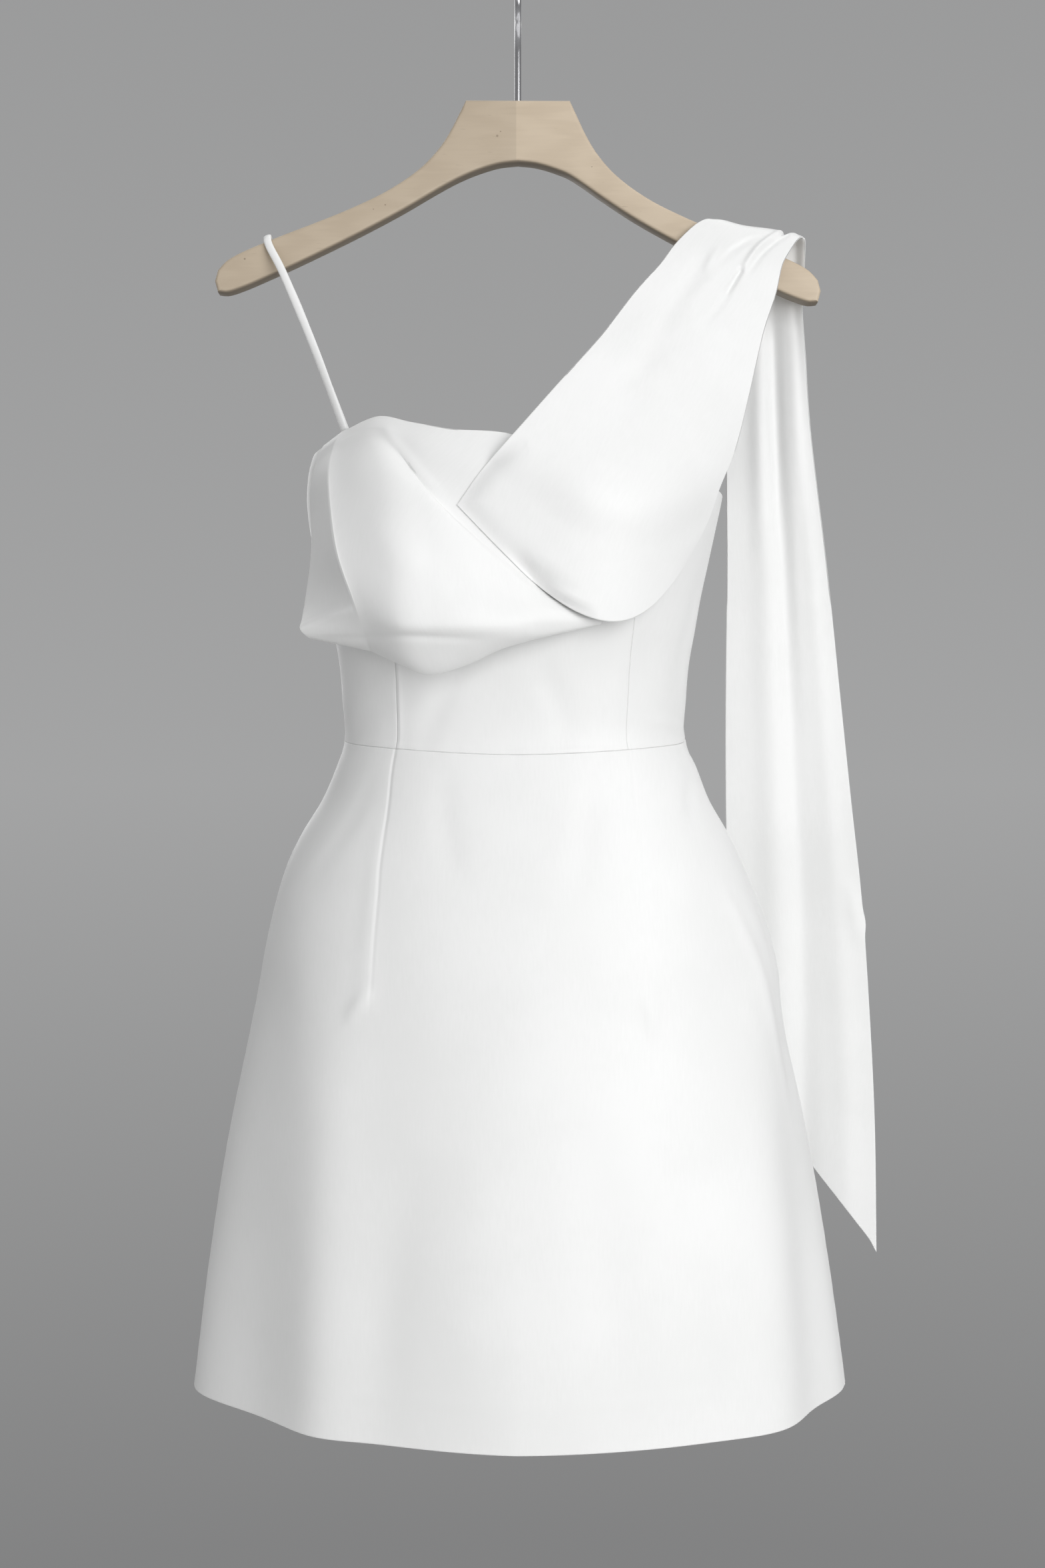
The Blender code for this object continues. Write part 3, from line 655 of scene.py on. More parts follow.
@dataclass(frozen=True)
class Wood:
    """Pale beige beech under a matt varnish: two boards joined at the middle, with a few dark specks.

    Attributes:
        name: material name.
        pale: colour between the grain lines.
        dark: colour of the grain lines.
        fleck: colour of the pores and specks.
        left_share: how bright the left board is beside the right one.
        painted_underside_shade: how bright the downward faces are painted beside the other faces, a painted
            shade under the arms.
        join: x of the joint between them, in metres.
        specks: x, z and radius of each speck, in metres.
    """

    name: str = "pale_beech"
    pale: Triple = (0.585, 0.485, 0.365)
    dark: Triple = (0.545, 0.447, 0.333)
    fleck: Triple = (0.20, 0.145, 0.10)
    left_share: float = 0.88
    painted_underside_shade: float = 0.42
    join: float = -0.0012
    specks: tuple[Triple, ...] = (
        (-0.1891, -0.2066, 0.0010), (-0.0918, -0.1692, 0.0008), (-0.0143, -0.1215, 0.0011),
        (-0.0120, -0.1185, 0.0007), (0.0512, -0.1429, 0.0006), (-0.1000, -0.1722, 0.0006),
    )

    def material(self) -> Finish:
        """Boards, grain and flecks of the wood, and a painted shade on its downward faces.

        Returns:
            The material.
        """
        tree = Tree(self.name)
        place = tree.place()
        grain = tree.noise(tree.stretch(place, (7.0, 60.0, 90.0)), 4.0, 5.0)
        rings = tree.add("ShaderNodeTexWave", {"Vector": tree.stretch(place, (1.2, 8.0, 9.0)), "Scale": 6.0,
                                               "Distortion": 7.0, "Detail": 3.0, "Detail Scale": 1.5})
        flecks = tree.noise(tree.stretch(place, (90.0, 300.0, 900.0)), 1.0, 1.0).ramp(0.72, 0.78) * 0.35
        for x, z, size in self.specks:
            away = tree.add("ShaderNodeVectorMath", {0: tree.stretch(place, (1.0, 0.0, 1.0)), 1: (x, 0.0, z)},
                            "Value", {"operation": "DISTANCE"})
            flecks = flecks + (1.0 - away.ramp(0.3 * size, size))
        figure = (grain * 0.65 + rings * 0.35).ramp(0.25, 0.8)
        board = tree.axis(place, "X").ramp(self.join - 0.0002, self.join + 0.0002)
        right = tree.blend(figure, self.pale, self.dark)
        left = tree.blend(figure, darker(self.pale, self.left_share), darker(self.dark, self.left_share))
        colour = tree.blend(flecks * 0.7, tree.blend(board, left, right), self.fleck)
        # Painted shade: faces that point down get a darker colour, standing in for the shade under the arms.
        facing = tree.axis(tree.add("ShaderNodeTexCoord", {}, "Normal"), "Z").ramp(-0.35, -0.9)
        colour = tree.blend(facing, colour, darker(self.dark, self.painted_underside_shade))
        return tree.finish(Base_Color=colour, Roughness=grain * 0.16 + 0.44, Coat_Weight=0.12,
                           Coat_Roughness=0.35, Normal=tree.bump(grain - flecks * 0.4, 0.00005))


@dataclass(frozen=True)
class Metal:
    """Drawn wire or cast metal with faint draw marks.

    Attributes:
        name: name of the material.
        colour: its colour.
        worn: colour of its smudges.
        gloss: its roughness.
        metal: 1 for metal, 0 for enamel or plastic.
    """

    name: str = "chrome"
    colour: Triple = (0.48, 0.48, 0.495)
    worn: Triple = (0.43, 0.43, 0.445)
    gloss: float = 0.20
    metal: float = 1.0

    def material(self) -> Finish:
        """Metal with draw marks and smudges.

        Returns:
            The material.
        """
        tree = Tree(self.name)
        marks = tree.noise(tree.stretch(tree.place(), (900.0, 900.0, 60.0)), 1.0, 2.0)
        smudge = tree.noise(tree.place(), 90.0, 3.0).ramp(0.4, 0.75)
        return tree.finish(Base_Color=tree.blend(smudge * 0.4, self.colour, self.worn), Metallic=self.metal,
                           Roughness=marks * 0.05 + smudge * 0.05 + (self.gloss - 0.05))


@dataclass(frozen=True)
class Woven:
    """Plain woven tape.

    Attributes:
        name: material name.
        colour: colour of the yarn.
        pitch: width of one yarn in metres.
        depth: depth of the weave in metres.
    """

    name: str = "zip_tape"
    colour: Triple = (0.82, 0.82, 0.815)
    pitch: float = 0.0006
    depth: float = 0.00008

    def material(self) -> Finish:
        """Woven tape.

        Returns:
            The material.
        """
        tree = Tree(self.name)
        place = tree.place()
        turn = 2 * math.pi / self.pitch
        rib = (tree.axis(place, "Z") * turn).wave() * (tree.axis(place, "X") * turn).wave() * 0.5 + 0.5
        colour = tree.blend(rib, darker(self.colour, 0.86), self.colour)
        return tree.finish(Base_Color=colour, Roughness=rib * -0.06 + 0.8, Sheen_Weight=0.2,
                           Normal=tree.bump(rib, self.depth))


def from_edge(grid: Array, edge: Edge) -> tuple[Array, Array]:
    """Places of a grid's points, measured from an edge.

    Args:
        grid: its points.
        edge: the edge.

    Returns:
        Cloth length from the edge to each point, and place along that edge, in millimetres.
    """
    flat = flat_places(grid) / MM
    across, down = flat[..., 0] - flat[:, :1, 0], -flat[..., 1]
    if edge is Edge.LEFT:
        return across, down
    if edge is Edge.RIGHT:
        return across[:, -1:] - across, down
    if edge is Edge.TOP:
        return down, across
    return down[-1:] - down, across


@dataclass(frozen=True)
class Sewing:
    """How a seam pulls at the cloth beside it.

    Attributes:
        roll: how far the edge turns in, in millimetres.
        reach: half-width of that turn.
        welt: height of the pressed allowance beside it.
        welt_away: distance from the seam to the welt's middle.
        welt_half: half-width of the welt.
        pucker: height of the small uneven waves.
        fade: how far from the seam they die out.
    """

    roll: float = 0.14
    reach: float = 1.0
    welt: float = 0.36
    welt_away: float = 2.6
    welt_half: float = 1.6
    pucker: float = 0.13
    fade: float = 7.0

    def lift(self, grid: Array, edges: dict[Edge, float], seed: float = 0.0) -> Array:
        """Lift of a piece along its sewn edges.

        Args:
            grid: its points.
            edges: its sewn edges and how clearly each shows, from 0 to 1.
            seed: number that varies the pucker.

        Returns:
            The lift at each point, in millimetres.
        """
        total = np.zeros(grid.shape[:2])
        for number, (edge, strength) in enumerate(edges.items()):
            away, along = from_edge(grid, edge)
            uneven = strength * np.clip(0.8 + 1.1 * ripple(along / 9.0, seed + number), 0.1, 2)
            total -= self.roll * uneven * bell(away / self.reach)
            total += self.welt * uneven * bell((away - self.welt_away) / self.welt_half)
            total += self.pucker * ripple(along, seed + number) * np.exp(-away / self.fade)
        return total


SeamLine = Callable[[Array], Array]


@dataclass
class Figure:
    """General figure that the dress is cut on, with its edges and seam lines, in millimetres and degrees.

    Attributes:
        waist: level of the waist seam at the sides.
        dip: how far it dips at the centre front.
        hem: level of the hem.
        seam: gap at a seam.
        softness: rounding of the side seams.
        sections: level, half-width left and right, depth front and back, roundness left and right.
        edge: angle and level of the bodice's top edge.
        shaping: level, angle of the left and of the right princess seam or dart.
        folds: angle and level at the top, angle and level at the foot, height, width in degrees.
        body: curve through the sections.
        rim: curve through the edge.
        lines: curve through the shaping.
    """

    waist: float = -539.0
    dip: float = 12.0
    hem: float = -987.0
    seam: float = 0.04
    softness: float = 0.05
    sections: Table = (
        (-995, 228, 232, 131, 110, 1.52, 1.80), (-906, 217, 220, 128, 109, 1.60, 1.83),
        (-813, 202, 203, 124, 107, 1.76, 1.88), (-720, 182, 181, 118, 104, 1.90, 1.95),
        (-674, 173, 171, 115, 102, 2.00, 2.00), (-628, 160, 155, 106, 93, 2.10, 2.10),
        (-604, 149, 145, 99, 85, 2.12, 2.12), (-581, 135, 132, 93, 78, 2.15, 2.15),
        (-558, 125, 123, 88, 73, 2.20, 2.20), (-540, 119.5, 115, 85, 70, 2.20, 2.20),
        (-512, 121, 116, 89, 73, 2.20, 2.20), (-488, 123, 118, 95, 76, 2.20, 2.20),
        (-465, 127, 122, 104, 80, 2.20, 2.20), (-442, 132, 126, 112, 83, 2.20, 2.20),
        (-419, 138, 131, 118, 86, 2.20, 2.20), (-396, 143, 136, 118, 87, 2.20, 2.20),
        (-372, 145, 141, 113, 86, 2.20, 2.20), (-350, 142, 143, 106, 85, 2.20, 2.20),
        (-328, 132, 143, 98, 84, 2.20, 2.20),
    )
    edge: tuple[Pair, ...] = (
        (0, -373), (20, -366), (38, -348), (60, -346), (90, -346), (130, -345), (160, -346), (180, -346),
        (200, -345), (206, -340.5), (212, -336), (225, -334.6), (236, -340.5), (250, -345.5), (268, -349.5),
        (282, -360), (300, -368), (320, -371), (340, -373), (360, -373),
    )
    shaping: tuple[Triple, ...] = (
        (-720, 227, 308), (-680, 227.4, 308.5), (-640, 226.5, 310.5), (-600, 224, 313), (-552, 221, 315),
        (-510, 222.5, 314), (-440, 228, 309), (-330, 232, 306),
    )
    folds: Table = (
        (219, -640, 217, -1334, 6.0, 9.0), (196, -640, 195, -1334, -10.5, 12.0),
        (333, -700, 330, -1274, 4.0, 8.0), (349, -700, 347, -1274, -14.5, 10.0),
        (344, -606, 352, -745, 3.0, 7.0), (338, -640, 344, -800, 2.2, 7.0), (205, -640, 212, -800, 1.6, 8.0),
        (150, -640, 144, -880, 2.4, 8.0), (34, -640, 40, -880, 2.4, 8.0),
    )
    body: Curve = field(init=False)
    rim: Curve = field(init=False)
    lines: Curve = field(init=False)

    def __post_init__(self) -> None:
        """Make the curves."""
        self.body, self.rim, self.lines = Curve(self.sections), Curve(self.edge), Curve(self.shaping)

    def neckline(self, angle: Array) -> Array:
        """Level of the bodice's top edge."""
        return self.rim(np.mod(angle, 360.0))

    def waistline(self, angle: Array) -> Array:
        """Level of the waist seam."""
        return self.waist - self.dip * np.maximum(0.0, -np.sin(np.radians(angle)))

    def hemline(self, angle: Array) -> Array:
        """Level of the hem."""
        return np.full_like(np.asarray(angle, float), self.hem)

    def princess(self, side: int) -> SeamLine:
        """Angle of the left, 0, or right, 1, princess seam or dart at a level."""
        return lambda level: self.lines(level, side)

    @staticmethod
    def fixed(angle: float) -> SeamLine:
        """A seam that keeps its angle."""
        return lambda level: np.full_like(np.asarray(level, float), angle)

    def radius(self, angle: Array, level: Array) -> Array:
        """Distance from the axis to the outer face of the cloth.

        Args:
            angle: angle of each place.
            level: level of each place.

        Returns:
            The distance at each place.
        """
        angle, level = np.broadcast_arrays(np.asarray(angle, float), np.asarray(level, float))
        c, s = np.cos(np.radians(angle)), np.sin(np.radians(angle))
        soft = self.softness
        depth_share = (np.hypot(s, soft) - soft) / (math.hypot(1, soft) - soft)
        width = np.where(c < 0, self.body(level, 0), self.body(level, 1))
        depth = np.where(s < 0, self.body(level, 2), self.body(level, 3))
        power = np.where(c < 0, self.body(level, 4), self.body(level, 5))
        reach = (np.abs(c / width) ** power + np.abs(depth_share / depth) ** power) ** (-1.0 / power)
        for top_angle, top, foot_angle, foot, height, spread in self.folds:
            t = (top - level) / (top - foot)
            middle = top_angle + (foot_angle - top_angle) * t
            away = (np.mod(angle - middle + 180.0, 360.0) - 180.0) / spread
            rise = height * np.sin(math.pi * np.clip(t, 0, 1)) * bell(away)
            reach = reach + np.where((t > 0) & (t < 1), rise, 0.0)
        return reach

    def place(self, angle: Array, level: Array, out: Array | float = 0.0) -> Array:
        """Points on the cloth's outer face.

        Args:
            angle: angle of each point.
            level: level of each point.
            out: how far each is moved out along the face's normal.

        Returns:
            The points.
        """
        angle, level = np.broadcast_arrays(np.asarray(angle, float), np.asarray(level, float))

        def on(a: Array, z: Array) -> Array:
            """Points on the face itself."""
            r = self.radius(a, z)
            return np.stack([r * np.cos(np.radians(a)), r * np.sin(np.radians(a)), z], -1)

        point = on(angle, level)
        if np.any(out):
            around = on(angle + 0.5, level) - on(angle - 0.5, level)
            upward = on(angle, level + 0.5) - on(angle, level - 0.5)
            point = point + unit(np.cross(around, upward)) * np.asarray(out)[..., None]
        return point

    def grid(self, seams: Sequence[SeamLine], top: SeamLine, foot: SeamLine, columns: Array, rows: Array,
             out: float = 0.0) -> tuple[Array, Array, Array]:
        """Points of a panel.

        Args:
            seams: its seam lines from left to right.
            top: level of its top edge at an angle.
            foot: level of its foot.
            columns: places across, in whole numbers at the seam lines.
            rows: places down, from 0 to 1.
            out: how far it lies off the body.

        Returns:
            The points, and the angle and level of each.
        """
        u, v = np.meshgrid(columns, rows)
        at = np.minimum(u.astype(int), len(seams) - 2)
        level = np.full_like(u, self.waist)
        angle = level
        for _ in range(5):
            lines = np.stack([seam(level) for seam in seams])
            inset = np.degrees(0.5 * self.seam / self.radius(lines[0], level))
            lines[0], lines[-1] = lines[0] + inset, lines[-1] - inset
            left = np.take_along_axis(lines, at[None], 0)[0]
            right = np.take_along_axis(lines, at[None] + 1, 0)[0]
            angle = left + (right - left) * (u - at)
            level = top(angle) + (foot(angle) - top(angle)) * v
        return self.place(angle, level, out), angle, level

    def relief(self, creases: Iterable[Crease], angle: Array, level: Array) -> Array:
        """Lift of creases whose ends are an angle and a level.

        Args:
            creases: the creases.
            angle: angle of each point.
            level: level of each point.

        Returns:
            The lift at each point, in millimetres.
        """
        total = np.zeros_like(angle)
        for crease in creases:
            mid = [0.5 * (a + b) for a, b in zip(crease.start, crease.end)]
            step = self.place(mid[0] + 0.5, mid[1]) - self.place(mid[0] - 0.5, mid[1])
            total += crease.lift(angle, level, float(np.linalg.norm(step)))
        return total


@dataclass
class Dressing:
    """What every cloth piece shares: the figure, the sewing, the thickness and the finished satin.

    Attributes:
        figure: the figure that the dress is cut on.
        satin: the cloth's material.
        sewing: how seams pull.
        thick: thickness of a single layer, folded at its edges.
    """

    figure: Figure
    satin: Finish
    sewing: Sewing = field(default_factory=Sewing)
    thick: float = 1.2

    def dress(self, piece: Piece, node: str, satin: Finish | None = None) -> Piece:
        """Give a cloth piece its satin, in place of a solid."""
        return fit(piece, satin or self.satin, node)

    def cut(self, grid: Array, node: str, sewn: Iterable[Edge] = (), thick: Array | None = None) -> Piece:
        """Make a piece from its outer grid, with its flat places worked out from the same grid.

        Args:
            grid: points of the outer face.
            node: the solid that it stands for.
            sewn: its sewn edges.
            thick: thickness at each point, where it is not the same all over.

        Returns:
            The piece.
        """
        across, down = np.diff(grid, axis=1), np.diff(grid, axis=0)
        thick = self.thick if thick is None else thick
        piece = self.dress(wall(node + "_cloth", grid, thick, sewn=sewn), node)
        return piece


@dataclass
class Bodice:
    """Five panels between the neckline and the waist seam.

    Attributes:
        rows: even steps down.
        step: width of one column away from the seams.
        middle: level at which a panel's width is taken.
        body_radius: mean radius of the body there.
        height: mean height of a panel.
        creases: drag lines whose ends are an angle and a level.
    """

    rows: int = 70
    step: float = 2.6
    middle: float = -450.0
    body_radius: float = 120.0
    height: float = 180.0
    creases: tuple[Crease, ...] = (
        Crease((254, -484), (230, -548), -1.1, 9.0, 4.0),
        Crease((276, -486), (292, -545), -0.9, 10.0, -3.0),
        Crease((318, -430), (306, -545), 0.9, 12.0, 3.0),
        Crease((345, -400), (338, -520), -1.0, 11.0, 5.0),
        Crease((350, -536), (322, -528), 0.9, 5.0, 2.0),
        Crease((222, -520), (200, -532), -0.8, 6.0, 2.0),
        Crease((200, -350), (206, -430), -0.9, 10.0, 3.0),
        Crease((150, -360), (128, -470), -1.1, 12.0, 5.0),
        Crease((118, -536), (150, -524), 0.9, 5.0, -2.0),
        Crease((30, -380), (58, -480), -1.1, 12.0, -5.0),
        Crease((66, -534), (32, -526), 0.8, 5.5, 2.0),
        Crease((104, -470), (96, -536), -0.7, 8.0, 3.0), *SIDE_NUB,
    )

    def panel(self, shared: Dressing, node: str, left: SeamLine, right: SeamLine, edges: dict[Edge, float],
              seed: float) -> Piece:
        """One panel.

        Args:
            shared: figure, satin and sewing.
            node: the solid that it stands for.
            left: angle of its left seam.
            right: angle of its right seam.
            edges: its sewn edges and how clearly each shows.
            seed: number that varies its pucker.

        Returns:
            The piece.
        """
        figure = shared.figure
        middle = np.array(self.middle)
        width = math.radians(float(right(middle) - left(middle))) * self.body_radius
        near = beads(width)
        columns = graded(max(12, round(width / self.step)), near, near)
        rows = graded(self.rows, (0.8 / self.height,), beads(self.height))
        grid, angle, level = figure.grid((left, right), figure.neckline,
                                         lambda a: figure.waistline(a) + 0.5 * figure.seam, columns, rows)
        lift = figure.relief(self.creases, angle, level) + shared.sewing.lift(grid, edges, seed)
        return shared.cut(raised(grid, lift), node, edges)

    def build(self, shared: Dressing) -> list[Piece]:
        """All five panels.

        Args:
            shared: figure, satin and sewing.

        Returns:
            The pieces.
        """
        figure = shared.figure
        fixed, princess = figure.fixed, figure.princess
        panels = (
            ("side_front_left", fixed(180), princess(0), 0.8, 0.2, 0.4),
            ("front", princess(0), princess(1), 1.0, 0.0, 1.7),
            ("side_front_right", princess(1), fixed(360), 0.0, 0.8, 2.9),
            ("back_right", fixed(0), fixed(90), 0.8, 0.8, 4.1),
            ("back_left", fixed(90), fixed(180), 0.8, 0.8, 5.3),
        )
        return [self.panel(shared, f"bodice_{name}", left, right,
                           {Edge.LEFT: clear_left, Edge.RIGHT: clear_right, Edge.FOOT: 0.45}, seed)
                for name, left, right, clear_left, clear_right, seed in panels]


@dataclass
class Skirt:
    """A-line skirt: a front with two darts and two backs.

    Attributes:
        rows: even steps down.
        height: mean height of a panel.
        parts: even steps across a front's side and middle part.
        part_width: mean width of such a part.
        back_columns: even steps across a back.
        back_width: mean width of a back.
        dart_end: level of the darts' points.
        dart_depth: depth of the left and of the right dart's line.
        dart_reach: half-width of the dart's line.
        dart_ridge: height of the ridge beside the left and the right line, on its side seam's side.
        ridge_away: distance from the line to the ridge.
        ridge_width: half-width of the ridge.
        hem_turn: how far up the hem's fold can be made out.
        creases: folds whose ends are an angle and a level.
    """

    rows: int = 118
    height: float = 445.0
    parts: tuple[int, int] = (48, 66)
    part_width: float = 200.0
    back_columns: int = 96
    back_width: float = 300.0
    dart_end: float = -716.0
    dart_depth: Pair = (0.5, 0.14)
    dart_reach: float = 1.1
    dart_ridge: Pair = (0.75, 0.3)
    ridge_away: float = 4.2
    ridge_width: float = 3.6
    hem_turn: float = 30.0
    creases: tuple[Crease, ...] = (
        Crease((227.5, -702), (221, -722), 1.5, 5.0, 1.0),
        Crease((308, -700), (311, -735), 1.1, 7.0, 1.0),
        Crease((351, -600), (352, -740), 1.3, 6.0, 3.0),
        Crease((334, -630), (349, -800), 1.5, 7.0, -4.0),
        Crease((343, -560), (330, -600), -1.2, 7.0, 2.0),
        Crease((240, -556), (252, -640), -0.9, 10.0, 4.0),
        Crease((300, -556), (286, -650), -0.8, 11.0, -4.0),
        Crease((215, -560), (205, -640), -0.5, 9.0, -3.0),
        Crease((262, -760), (258, -980), 1.2, 26.0, 6.0),
        Crease((290, -780), (298, -985), -1.3, 24.0, -5.0),
        Crease((240, -800), (232, -985), -1.2, 20.0, 4.0),
        Crease((322, -820), (326, -985), 1.4, 18.0, 3.0),
        Crease((128, -560), (140, -660), -1.1, 9.0, 4.0),
        Crease((60, -558), (50, -650), -1.1, 9.0, -4.0),
        Crease((112, -760), (118, -985), 1.6, 24.0, 5.0),
        Crease((70, -740), (62, -985), -1.5, 22.0, -6.0),
        Crease((150, -800), (156, -985), -1.3, 18.0, 4.0),
        Crease((28, -820), (22, -985), 1.4, 16.0, -3.0), *SIDE_NUB,
    )

    def finish(self, shared: Dressing, node: str, grid: Array, angle: Array, level: Array,
               seed: float, marks: Sequence[SeamLine] = ()) -> Piece:
        """Add the folds, the darts and the hem to a panel and cut it.

        Args:
            shared: figure, satin and sewing.
            node: the solid that it stands for.
            grid: its points.
            angle: angle of each point.
            level: level of each point.
            seed: number that varies its pucker.
            marks: its dart lines.

        Returns:
            The piece.
        """
        figure = shared.figure
        sewn = {Edge.LEFT: 0.8, Edge.RIGHT: 0.8, Edge.TOP: 0.3}
        lift = figure.relief(self.creases, angle, level) + shared.sewing.lift(grid, sewn, seed)
        for mark, depth, ridge, way in zip(marks, self.dart_depth, self.dart_ridge, (-1, 1)):
            reach = np.radians(angle - mark(level)) * figure.radius(angle, level)
            below = np.clip((level - self.dart_end) / 120.0, 0, 1)
            pucker = 0.1 * ripple(level, seed + 1.3) * np.exp(-np.abs(reach) / 6.0)
            lift += below**0.5 * (pucker - depth * bell(reach / self.dart_reach))
            beside = (reach * way - self.ridge_away) / (self.ridge_width + 4.0 * (1 - below))
            lift += ridge * np.sin(math.pi * below**0.5) ** 0.5 * bell(beside)
        above, along = from_edge(grid, Edge.FOOT)
        lift += 0.12 * bell((above - self.hem_turn) / 2.2) * (1 + 0.6 * ripple(along / 3.0, seed))
        return shared.cut(raised(grid, lift), node, sewn)

    def build(self, shared: Dressing) -> list[Piece]:
        """The front and both backs.

        Args:
            shared: figure, satin and sewing.

        Returns:
            The pieces.
        """
        figure = shared.figure
        rows = graded(self.rows, beads(self.height), [away / self.height for away in (0.8, 2.0)])

        def top(angle: Array) -> Array:
            """Level of the skirt's top edge."""
            return figure.waistline(angle) - 0.5 * figure.seam

        front = (figure.fixed(180), figure.princess(0), figure.princess(1), figure.fixed(360))
        near = beads(self.part_width)
        side, middle = (graded(count, near, near) for count in self.parts)
        columns = np.concatenate([side[:-1], middle[:-1] + 1, side + 2])
        grid, angle, level = figure.grid(front, top, figure.hemline, columns, rows)
        pieces = [self.finish(shared, "skirt_front", grid, angle, level, 0.9, front[1:3])]
        near = beads(self.back_width)
        columns = graded(self.back_columns, near, near)
        for node, start, seed in (("skirt_back_right", 0.0, 3.3), ("skirt_back_left", 90.0, 6.1)):
            seams = (figure.fixed(start), figure.fixed(start + 90.0))
            grid, angle, level = figure.grid(seams, top, figure.hemline, columns, rows)
            pieces.append(self.finish(shared, node, grid, angle, level, seed))
        return pieces


@dataclass
class BustDrape:
    """Cowl folded over the left bust: it hangs from the neckline, rolls under and is caught behind.

    Attributes:
        on_bodice: angle, level and stand off the bodice of each section's top edge and ridge.
        sections: x, y, z of the chest, belly, roll, underside, tuck and inner end of each section.
        fold_edge: section where the flank meets the front in a crisp fold.
        fold_share: how close its neighbours stand.
        middle_share: stand of the point between the top edge and the ridge.
        across: even steps across.
        down: even steps down.
        creases: folds whose ends are x and z, seen from the front.
    """

    on_bodice: tuple[tuple[Triple, ...], ...] = (
        ((203, -346, 2.1), (203, -356, 4.0)), ((210, -339, 2.1), (210, -352, 4.0)),
        ((222, -332.2, 2.1), (223, -347, 4.0)), ((234, -338.4, 2.1), (232, -358, 4.0)),
        ((247, -344.4, 2.1), (244, -386, 5.0)), ((271, -352, 2.3), (264, -420, 4.0)),
        ((272.5, -388, 3.0), (272.5, -434, 3.4)), ((276, -424, 3.2), (281, -447, 3.2)),
        ((296, -453, 3.0), (299, -460, 2.4)),
    )
    sections: tuple[tuple[Triple, ...], ...] = (
        ((-137.5, -59, -375), (-136.5, -62, -416), (-139, -77, -452), (-139.7, -88, -470),
         (-132, -85, -476.5), (-121, -73, -470)),
        ((-122, -91, -374), (-115, -111, -421), (-103, -119.5, -456), (-97, -114, -475), (-94, -96, -485),
         (-94, -80, -476)),
        ((-86, -112, -372), (-78, -128, -416), (-74, -138, -464), (-72, -132, -479), (-73, -110, -495),
         (-73, -84, -482)),
        ((-60, -121, -388), (-54, -131, -424), (-50, -140, -466), (-50, -134, -480), (-56, -111, -501),
         (-56, -89.5, -487)),
        ((-36, -125, -410), (-31, -131, -438), (-28, -138, -468), (-28, -132, -480), (-32, -112, -495),
         (-32, -101, -486)),
        ((-11, -125, -433), (-9, -127, -449), (-7, -132, -469), (-7, -127, -479), (-10, -113, -485),
         (-10, -107, -474)),
        ((4, -122.5, -444), (4.5, -124.5, -456), (5, -127, -469), (5, -122.5, -477.5), (3, -112.5, -481),
         (2.5, -108, -471)),
        ((19, -118, -454), (18.5, -121, -461), (18, -121, -469), (17.5, -117, -476), (16, -111, -477),
         (15, -108.5, -468)),
        ((54, -106, -462), (54, -108, -463.5), (54, -109, -466), (53.5, -108, -468.5), (52, -105.5, -468.5),
         (51, -104.5, -464.5)),
    )
    fold_edge: int = 1
    fold_share: float = 0.14
    middle_share: float = 1.2
    across: int = 190
    down: int = 150
    creases: tuple[Crease, ...] = (
        Crease((-101, -348), (-95, -392), 0.4, 10.0, 3.0),
        Crease((-84, -344), (-44, -393), 1.2, 4.5, 2.0, 0.35, 0.5),
        Crease((-92, -400), (-60, -440), 0.8, 12.0, 4.0),
        Crease((-140, -470), (-103, -460), 2.8, 3.6, -1.0, 0.6, 0.7),
        Crease((-124, -477), (-16, -481), -1.0, 2.4, 0.0, 0.2, 0.6),
        Crease((-60, -425), (-30, -455), -0.7, 9.0, -3.0),
    )

    def points(self, figure: Figure) -> Array:
        """Sections with the crisp fold's neighbours beside it.

        Args:
            figure: the figure that it lies on.

        Returns:
            One row of points a section.
        """
        rows = []
        for (top, ridge), free in zip(self.on_bodice, self.sections):
            middle = [0.5 * (a + b) for a, b in zip(top, ridge)]
            middle[2] *= self.middle_share
            held = [figure.place(angle, level, stand) for angle, level, stand in (top, middle, ridge)]
            rows.append(held + [np.array(point, float) for point in free])
        table = np.array(rows)
        fold = table[self.fold_edge]
        before, after = (fold + (table[self.fold_edge + way] - fold) * self.fold_share for way in (-1, 1))
        return np.concatenate([table[:self.fold_edge], [before, fold, after], table[self.fold_edge + 1:]])

    def grid(self, figure: Figure) -> Array:
        """Its outer face with the creases.

        Args:
            figure: the figure that it lies on.

        Returns:
            The points.
        """
        sections = self.points(figure)
        lines = through(sections.transpose(1, 0, 2), graded(self.down, (0.003,), (0.003,)))
        grid = through(lines.transpose(1, 0, 2), graded(self.across, (0.002,), (0.002,))).transpose(1, 0, 2)
        facing = np.clip(-grid_normals(grid)[..., 1], 0, 1) ** 0.5
        lift = relief(self.creases, grid[..., 0], grid[..., 2]) * facing
        return raised(grid, lift)

    def build(self, shared: Dressing) -> Piece:
        """The drape."""
        return shared.cut(self.grid(shared.figure), "bust_drape")


